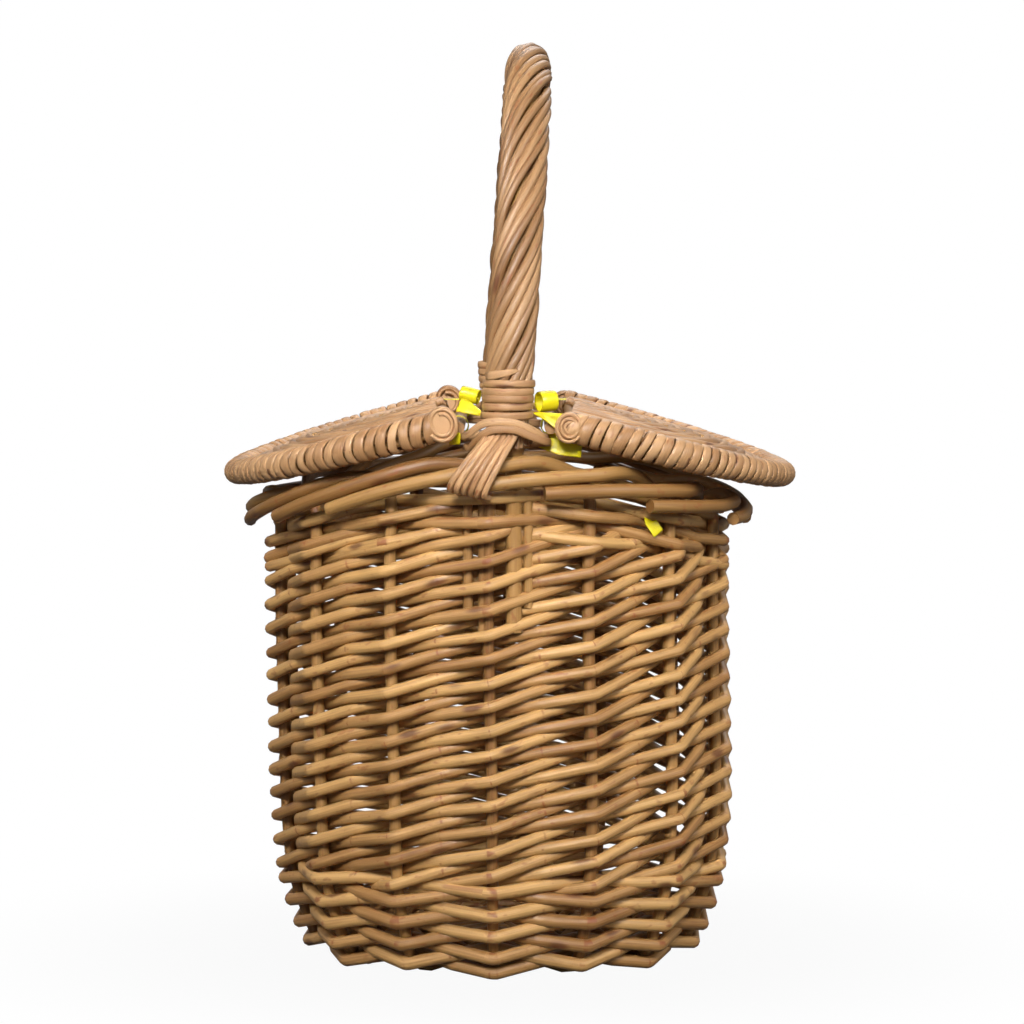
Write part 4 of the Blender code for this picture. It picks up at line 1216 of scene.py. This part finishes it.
def build_lids():
    for name, left in (("left", True), ("right", False)):
        frames = edge_frames(EDGE_STATIONS, LID_REACHES[name])
        rods = []
        for out, above in EDGE_RODS:
            line = [point + away * out + up * above for point, away, up, run, along in frames]
            rods.append((mirrored(line, left), [1.0] * len(line), False))
        piece = lay_rods(f"{name}_edge_rods", rods, EDGE_ROD_RADIUS)
        dress(piece, f"{name}_lid", "core_willow", rods_of("stake"), f"{name}_lid_bow")

        piece = lay_strips(f"{name}_edge_wrap", edge_wraps(frames, left) + edge_rolls(frames, name, left))
        dress(piece, f"{name}_lid", "pale_willow", rods_of("pale"), f"{name}_lid_edge")

        bar = even_line(LID_BAR_HALF, 9, lambda along: lid_point(0, along))
        piece = lay_rods(f"{name}_bar_rod", [(mirrored(bar, left), [1.0] * len(bar), False)], LID_BAR_RADIUS)
        dress(piece, f"{name}_lid", "stake_willow", rods_of("stake"), f"{name}_lid_bar")
        build_lid_weave(name, left)


def edge_wraps(frames, left):
    """The turns of skein round a lid's edge, tall near the hinge and lower at the outer end."""
    skein = sizes().skein_width
    wraps = int(frames[-1][3] / (skein * WRAP_SPACING_SHARE))
    strips = []
    for wrap in range(wraps):
        share = (wrap + 0.5) / wraps
        place = share * (len(frames) - 1)
        low = int(place)
        point, away, up, run, along = frames[low]
        centre = point.lerp(frames[min(low + 1, len(frames) - 1)][0], place - low)
        near_hinge = abs(math.cos(math.pi * share)) ** 1.6
        high = WRAP_HIGH + WRAP_HIGH_AT_HINGE * near_hinge + random.uniform(-WRAP_SLIP, WRAP_SLIP)
        deep = WRAP_DEEP + WRAP_DEEP_AT_HINGE * near_hinge + random.uniform(-WRAP_SLIP, WRAP_SLIP)
        lean = WRAP_LEAN + random.uniform(-WRAP_LEAN_SLIP, WRAP_LEAN_SLIP)
        points = []
        outs = []
        steps = 18
        for i in range(steps):
            turn = 2 * math.pi * i / steps
            out = away * math.cos(turn) * deep + up * math.sin(turn) * high
            slant = high * math.tan(lean) * math.sin(turn) - WRAP_BOW * math.cos(turn)
            points.append(centre + out + along * slant)
            outs.append((away * math.cos(turn) / deep + up * math.sin(turn) / high).normalized())
        width = skein * random.uniform(*WRAP_WIDTH_SHARES)
        sides = [width] * steps, [WRAP_THICKNESS] * steps
        strips.append((mirrored(points, left), mirrored(outs, left), *sides, True))
    return strips


def edge_rolls(frames, name, left):
    """The strip's end rolled round the edge's sawn end at both inner corners of a lid."""
    strips = []
    roll = ROLLS[name]
    across, tall = roll["across"], roll["tall"]
    for (point, away, up, run, along), sign in ((frames[0], -1), (frames[-1], 1)):
        inboard = along * sign
        outwards = Vector((0, sign, 0))
        centre = point + inboard * roll["inboard"] + up * roll["up"] + outwards * ROLL_OUT
        points = []
        outs = []
        stations = 56
        for i in range(stations):
            share = i / (stations - 1)
            turn = 2 * math.pi * roll["turns"] * share + ROLL_START
            size = 1 - roll["shrink"] * share
            flat, rise = math.cos(turn), math.sin(turn)
            points.append(centre + inboard * flat * across * size + up * rise * tall * size)
            outs.append((inboard * flat / across + up * rise / tall).normalized())
        sides = [ROLL_WIDTH] * stations, [roll["thickness"]] * stations
        strips.append((mirrored(points, left), mirrored(outs, left), *sides, False))

        core = [centre + outwards * step for step in ROLL_CORE_STEPS]
        widths = [share * across for share in ROLL_CORE_SHARES]
        talls = [ROLL_CORE_TALL_SHARE * share * tall for share in ROLL_CORE_SHARES]
        strips.append((mirrored(core, left), mirrored([up] * len(core), left), widths, talls, False))
    return strips


def oval(angle, reach, half_width):
    return 1 / math.hypot(math.cos(angle) / reach, math.sin(angle) / half_width)


def lid_crown(along, share):
    """How far a lid's woven top stands above its edge, some share of the way out from the bar."""
    return LID_CROWN * (1 - (along / LID_HALF_WIDTH) ** 2) * min(1, 3 * (1 - share))


def rib_angle(place):
    return RIB_SPREAD * (place / (RIBS - 1) - 0.5)


def build_lid_weave(name, left):
    """Ribs that fan out from the middle of the bar, with rods woven over and under them."""
    reach = LID_REACHES[name]
    rods = []
    for number in range(RIBS):
        angle = rib_angle(number)
        tip = oval(angle, reach - RIB_SHORT, LID_HALF_WIDTH - RIB_NARROW)
        line = []
        for i in range(9):
            radius = RIB_START + (tip - RIB_START) * i / 8
            along = radius * math.sin(angle)
            line.append(lid_point(radius * math.cos(angle), along, lid_crown(along, i / 8)))
        rods.append((mirrored(line, left), [1.0] * len(line), False))
    piece = lay_rods(f"{name}_rib_rods", rods, RIB_RADIUS)
    dress(piece, f"{name}_lid", "stake_willow", rods_of("stake"), f"{name}_lid_ribs")

    rods = []
    first, last = LID_ROW_SHARES
    for row in range(LID_ROWS):
        share = first + (last - first) * row / (LID_ROWS - 1)
        points = []
        for half in range(-2, 2 * RIBS + 2):
            place = half / 2
            if abs(place - (RIBS - 1) / 2) > (RIBS - 1) / 2 + LID_ROD_OVERRUN:
                continue
            angle = rib_angle(place)
            radius = oval(angle, reach, LID_HALF_WIDTH) * share
            along = radius * math.sin(angle)
            above = lid_crown(along, share)
            if half % 2 == 0 and 0 <= place < RIBS:
                above += LID_ROD_STEP * (1 if (half // 2 + row) % 2 == 0 else -1)
            points.append(lid_point(radius * math.cos(angle), along, above))
        butt = random.uniform(*LID_ROD_BUTT_SHARES)
        line = rounded(points, 2)
        rods.append((mirrored(line, left), [butt] * len(line), False))
    piece = lay_rods(f"{name}_lid_rods", rods, LID_ROD_RADIUS, 2)
    dress(piece, f"{name}_lid", "weaver_willow", rods_of("pale"), f"{name}_lid_weaver")


# Ribbons

# The knots: a ring's centre, axis, radius and width share, and each loose end's corners with its
# width share at each. All are chosen in front of the handle's foot.
KNOT_RINGS = {
    "right": ((0.0200, -0.106, 0.2806), (0.90, 0.42, 0.05), 0.0047, 1.15),
    "left": ((-0.0165, -0.106, 0.2835), (0.92, -0.26, -0.22), 0.0034, 1.2),
}
KNOT_ENDS = {
    "right": (
        (((0.0140, -0.109, 0.2752), (0.0205, -0.112, 0.2733), (0.0262, -0.113, 0.2712)),
         (0.1067, 0.6, 1.15)),
        (((0.0170, -0.104, 0.2622), (0.0265, -0.105, 0.2600), (0.0370, -0.104, 0.2582)),
         (1.0, 1.4, 1.3)),
    ),
    "left": (
        (((-0.0218, -0.108, 0.2792), (-0.0170, -0.110, 0.2774), (-0.0112, -0.111, 0.2748)),
         (1.0, 0.8, 0.2667)),
        (((-0.0262, -0.106, 0.2700), (-0.0240, -0.110, 0.2650), (-0.0238, -0.108, 0.2600)),
         (0.7, 0.8, 0.7)),
    ),
}
LOOSE_END = ((0.0682, -0.0790, 0.2240), (0.0698, -0.0865, 0.2222), (0.0722, -0.0872, 0.2188),
             (0.0742, -0.0868, 0.2158))
LOOSE_END_SHARES = (0.85, 0.9, 0.9, 0.9)
LOOSE_END_FACING = (0.6, -0.8, 0.1)


def ribbon_ring(centre, axis, radius, width_share):
    """A ring of ribbon round an axis."""
    axis = Vector(axis).normalized()
    side = axis.cross(Vector((0, 0, 1))).normalized()
    rise = side.cross(axis)
    steps = 20
    turns = [2 * math.pi * i / steps for i in range(steps)]
    outs = [side * math.cos(turn) + rise * math.sin(turn) for turn in turns]
    points = [Vector(centre) + out * radius for out in outs]
    width = sizes().ribbon_width * width_share
    return points, outs, [width] * steps, [RIBBON_THICKNESS] * steps, True


def ribbon_end(corners, width_shares, facing):
    """An open length of ribbon through the corners, with a width at each."""
    line = rounded([Vector(corner) for corner in corners], CURVE_STEPS)
    places = [i * CURVE_STEPS for i in range(len(width_shares))]
    widths = [sizes().ribbon_width * interpolate(places, width_shares, i) for i in range(len(line))]
    return line, [Vector(facing).normalized()] * len(line), widths, [RIBBON_THICKNESS] * len(line), False


def ribbon_loops(along, left):
    """Two loops side by side, each round the hinge bar and the lid's bar."""
    strips = []
    for shift, reach in RIBBON_LOOPS:
        points = []
        outs = []
        for centre_x, first in ((HINGE_X, 0.5), (HINGE_X + LID_BAR_OUTBOARD, -0.5)):
            for i in range(9):
                turn = math.pi * (first + i / 8)
                out = Vector((math.cos(turn), 0, math.sin(turn)))
                outs.append(out)
                points.append(Vector((centre_x, along + shift, HINGE_HEIGHT)) + out * reach)
        count = len(points)
        sides = [sizes().ribbon_width] * count, [RIBBON_THICKNESS] * count
        strips.append((mirrored(points, left), mirrored(outs, left), *sides, True))
    return strips


def build_ribbons():
    """Plastic ribbon looped round the hinge bar and the lid's bar, with its knots and loose ends."""
    plastic = [finishes()["ribbon"]] * 2
    for name, left in (("left", True), ("right", False)):
        for end, along in RIBBON_PLACES:
            piece = lay_strips(f"{name}_ribbon_{end}", ribbon_loops(along, left))
            dress(piece, f"{name}_lid", "yellow_ribbon", plastic, f"{name}_strap_{end}")
        strips = [ribbon_ring(*KNOT_RINGS[name])]
        for corners, width_shares in KNOT_ENDS[name]:
            strips.append(ribbon_end(corners, width_shares, RIBBON_FACING))
        piece = lay_strips(f"{name}_knot", strips)
        dress(piece, "basket", "yellow_ribbon", plastic)
    piece = lay_strips("ribbon_end", [ribbon_end(LOOSE_END, LOOSE_END_SHARES, LOOSE_END_FACING)])
    dress(piece, "basket", "yellow_ribbon", plastic)


# Stage

FLOOR_SIZE = 400
FLOOR_BELOW = 0.0005
PAPER = (0.08, 0.08, 0.08, 1)
# Glow close round the basket's foot, lower than far out: a painted shadow there
PAPER_GLOW_IN_PAINTED_SHADOW = 0.945
PAPER_FADE = (0.10, 0.34)
SURROUND_LIGHT = 0.24
CAMERA_PLACE = (0.0035, -2.33, 0.387)
CAMERA_DOWN = math.radians(4.1)
CAMERA_LENS = 164

# Each lamp's place, what it is aimed at, its size, its power and how wide it spreads, in degrees
LAMPS = {
    "Lamp above the camera": ((-0.12, -1.8, 1.22), (0, 0, 0.33), 0.6, 2.3, 30),
    "Lamp on the left": ((-1.4, -0.8, 1.1), (0, 0, 0.2), 0.9, 9, 180),
    "Lamp on the right": ((1.4, -0.9, 1.1), (0, 0, 0.2), 0.9, 13, 180),
    "Lamp behind": ((0.2, 1.3, 1.5), (0, 0, 0.25), 1.0, 10, 180),
}


def studio_paper():
    """Pale paper that glows white in the camera's view, less so close round the basket's foot, where the
    dimmer glow is a painted shadow.
    """
    made, tree, shader = new_material("Pale studio paper")
    shader.inputs["Base Color"].default_value = PAPER
    shader.inputs["Roughness"].default_value = 0.9
    coordinate = add_node(tree, "ShaderNodeTexCoord")
    away = add_node(tree, "ShaderNodeVectorMath", {"operation": "LENGTH"},
                    links={0: coordinate.outputs["Object"]})
    near, far = PAPER_FADE
    # The glow dims close round the basket's foot: a painted shadow over the faint real one
    glow = add_node(tree, "ShaderNodeMapRange", {"interpolation_type": "SMOOTHSTEP"},
                    {"From Min": near, "From Max": far, "To Min": PAPER_GLOW_IN_PAINTED_SHADOW, "To Max": 1.0},
                    {"Value": away.outputs["Value"]})
    path = add_node(tree, "ShaderNodeLightPath")
    white = add_node(tree, "ShaderNodeEmission", values={"Color": (1, 1, 1, 1), "Strength": 1.0})
    seen = add_node(tree, "ShaderNodeMath", {"operation": "MULTIPLY"},
                    links={0: path.outputs["Is Camera Ray"], 1: glow.outputs[0]})
    mix = add_node(tree, "ShaderNodeMixShader",
                   links={0: seen.outputs[0], 1: shader.outputs[0], 2: white.outputs[0]})
    tree.links.new(mix.outputs[0], tree.nodes["Material Output"].inputs["Surface"])
    return made


def white_surround():
    """A world that is white in the camera's view and through glass, and dimmer as a light."""
    world = bpy.data.worlds.new("White surround")
    world.use_nodes = True
    tree = world.node_tree
    ground = tree.nodes["Background"]
    ground.inputs["Color"].default_value = (1, 1, 1, 1)
    path = add_node(tree, "ShaderNodeLightPath")
    shown = add_node(tree, "ShaderNodeMath", {"operation": "MAXIMUM"},
                     links={0: path.outputs["Is Camera Ray"], 1: path.outputs["Is Transmission Ray"]})
    strength = add_node(tree, "ShaderNodeMapRange", values={"To Min": SURROUND_LIGHT, "To Max": 1.0},
                        links={"Value": shown.outputs[0]})
    tree.links.new(strength.outputs[0], ground.inputs["Strength"])
    return world


def build_stage():
    """A pale floor, soft lamps, a white surround and the camera."""
    bpy.ops.object.select_all(action="DESELECT")
    bpy.ops.mesh.primitive_plane_add(size=FLOOR_SIZE, location=(0, 0, -FLOOR_BELOW))
    floor = bpy.context.object
    floor.name = "floor"
    floor.data.materials.append(studio_paper())
    bpy.context.scene.world = white_surround()

    for name, (place, aim, size, power, spread) in LAMPS.items():
        light = bpy.data.lights.new(name, "AREA")
        light.size = size
        light.energy = power
        light.spread = math.radians(spread)
        lamp = bpy.data.objects.new(name, light)
        bpy.context.collection.objects.link(lamp)
        lamp.location = place
        lamp.rotation_euler = (Vector(aim) - Vector(place)).to_track_quat("-Z", "Y").to_euler()

    camera_data = bpy.data.cameras.new("Camera")
    camera_data.lens = CAMERA_LENS
    camera_data.sensor_width = 36
    camera = bpy.data.objects.new("Camera", camera_data)
    bpy.context.collection.objects.link(camera)
    camera.location = CAMERA_PLACE
    camera.rotation_euler = (math.pi / 2 - CAMERA_DOWN, 0, 0)
    bpy.context.scene.camera = camera
    bpy.context.scene.view_settings.view_transform = "Standard"


# Operators and panel


class BASKET_OT_base(bpy.types.Operator):
    """Weaves the crossed sticks and the rounds of the base"""

    bl_idname = "basket.base"
    bl_label = "Weave the base"

    def execute(self, context):
        build_base()
        return {"FINISHED"}


class BASKET_OT_stakes(bpy.types.Operator):
    """Sets the stakes and turns them down into the border"""

    bl_idname = "basket.stakes"
    bl_label = "Set the stakes"

    def execute(self, context):
        build_stakes()
        return {"FINISHED"}


class BASKET_OT_upsett(bpy.types.Operator):
    """Weaves the rounds at the bend of the wall"""

    bl_idname = "basket.upsett"
    bl_label = "Weave the upsett"

    def execute(self, context):
        build_upsett()
        return {"FINISHED"}


class BASKET_OT_side(bpy.types.Operator):
    """Weaves the slanting rods of the side"""

    bl_idname = "basket.side"
    bl_label = "Weave the side"

    def execute(self, context):
        build_side_weavers()
        return {"FINISHED"}


class BASKET_OT_top_rounds(bpy.types.Operator):
    """Weaves the last rounds under the border"""

    bl_idname = "basket.top_rounds"
    bl_label = "Weave the top rounds"

    def execute(self, context):
        build_top_rounds()
        return {"FINISHED"}


class BASKET_OT_handle(bpy.types.Operator):
    """Bends the handle stick and twists rods round it"""

    bl_idname = "basket.handle"
    bl_label = "Rope the handle"

    def execute(self, context):
        build_handle()
        return {"FINISHED"}


class BASKET_OT_bindings(bpy.types.Operator):
    """Winds skein round both feet of the bow"""

    bl_idname = "basket.bindings"
    bl_label = "Bind the handle"

    def execute(self, context):
        build_bindings()
        return {"FINISHED"}


class BASKET_OT_tails(bpy.types.Operator):
    """Lays the roping's ends over the border"""

    bl_idname = "basket.tails"
    bl_label = "Lay the tails"

    def execute(self, context):
        build_tails()
        return {"FINISHED"}


class BASKET_OT_lashings(bpy.types.Operator):
    """Lashes the hinge bars to the handle"""

    bl_idname = "basket.lashings"
    bl_label = "Lash the hinge bars"

    def execute(self, context):
        build_lashings()
        return {"FINISHED"}


class BASKET_OT_hinge_bars(bpy.types.Operator):
    """Fits the two hinge bars"""

    bl_idname = "basket.hinge_bars"
    bl_label = "Fit the hinge bars"

    def execute(self, context):
        build_hinge_bars()
        return {"FINISHED"}


class BASKET_OT_lids(bpy.types.Operator):
    """Wraps the lids' edges and weaves their tops"""

    bl_idname = "basket.lids"
    bl_label = "Make the lids"

    def execute(self, context):
        build_lids()
        return {"FINISHED"}


class BASKET_OT_ribbons(bpy.types.Operator):
    """Loops ribbon round the bars and ties it"""

    bl_idname = "basket.ribbons"
    bl_label = "Tie the ribbons"

    def execute(self, context):
        build_ribbons()
        return {"FINISHED"}


class BASKET_OT_stage(bpy.types.Operator):
    """Sets the floor, lamps, surround and camera"""

    bl_idname = "basket.stage"
    bl_label = "Set the stage"

    def execute(self, context):
        build_stage()
        return {"FINISHED"}


OPERATORS = [
    BASKET_OT_base,
    BASKET_OT_stakes,
    BASKET_OT_upsett,
    BASKET_OT_side,
    BASKET_OT_top_rounds,
    BASKET_OT_handle,
    BASKET_OT_bindings,
    BASKET_OT_tails,
    BASKET_OT_lashings,
    BASKET_OT_hinge_bars,
    BASKET_OT_lids,
    BASKET_OT_ribbons,
    BASKET_OT_stage,
]


class BASKET_PT_panel(bpy.types.Panel):
    bl_label = "Willow basket"
    bl_idname = "BASKET_PT_panel"
    bl_space_type = "VIEW_3D"
    bl_region_type = "UI"
    bl_category = "Basket"

    def draw(self, context):
        for operator in OPERATORS:
            self.layout.operator(operator.bl_idname)
        for group in (context.scene.basket_sizes, context.scene.basket_colours):
            for name in group.bl_rna.properties.keys():
                if name not in ("name", "rna_type"):
                    self.layout.prop(group, name)


CLASSES = [BasketSizes, BasketColours, *OPERATORS, BASKET_PT_panel]


def register():
    for made in CLASSES:
        bpy.utils.register_class(made)
    bpy.types.Scene.basket_sizes = bpy.props.PointerProperty(type=BasketSizes)
    bpy.types.Scene.basket_colours = bpy.props.PointerProperty(type=BasketColours)


def unregister():
    del bpy.types.Scene.basket_colours
    del bpy.types.Scene.basket_sizes
    for made in reversed(CLASSES):
        bpy.utils.unregister_class(made)


def main():
    register()
    random.seed(7)
    for operator in OPERATORS:
        getattr(bpy.ops.basket, operator.bl_idname.split(".")[1])()


if __name__ == "__main__":
    main()
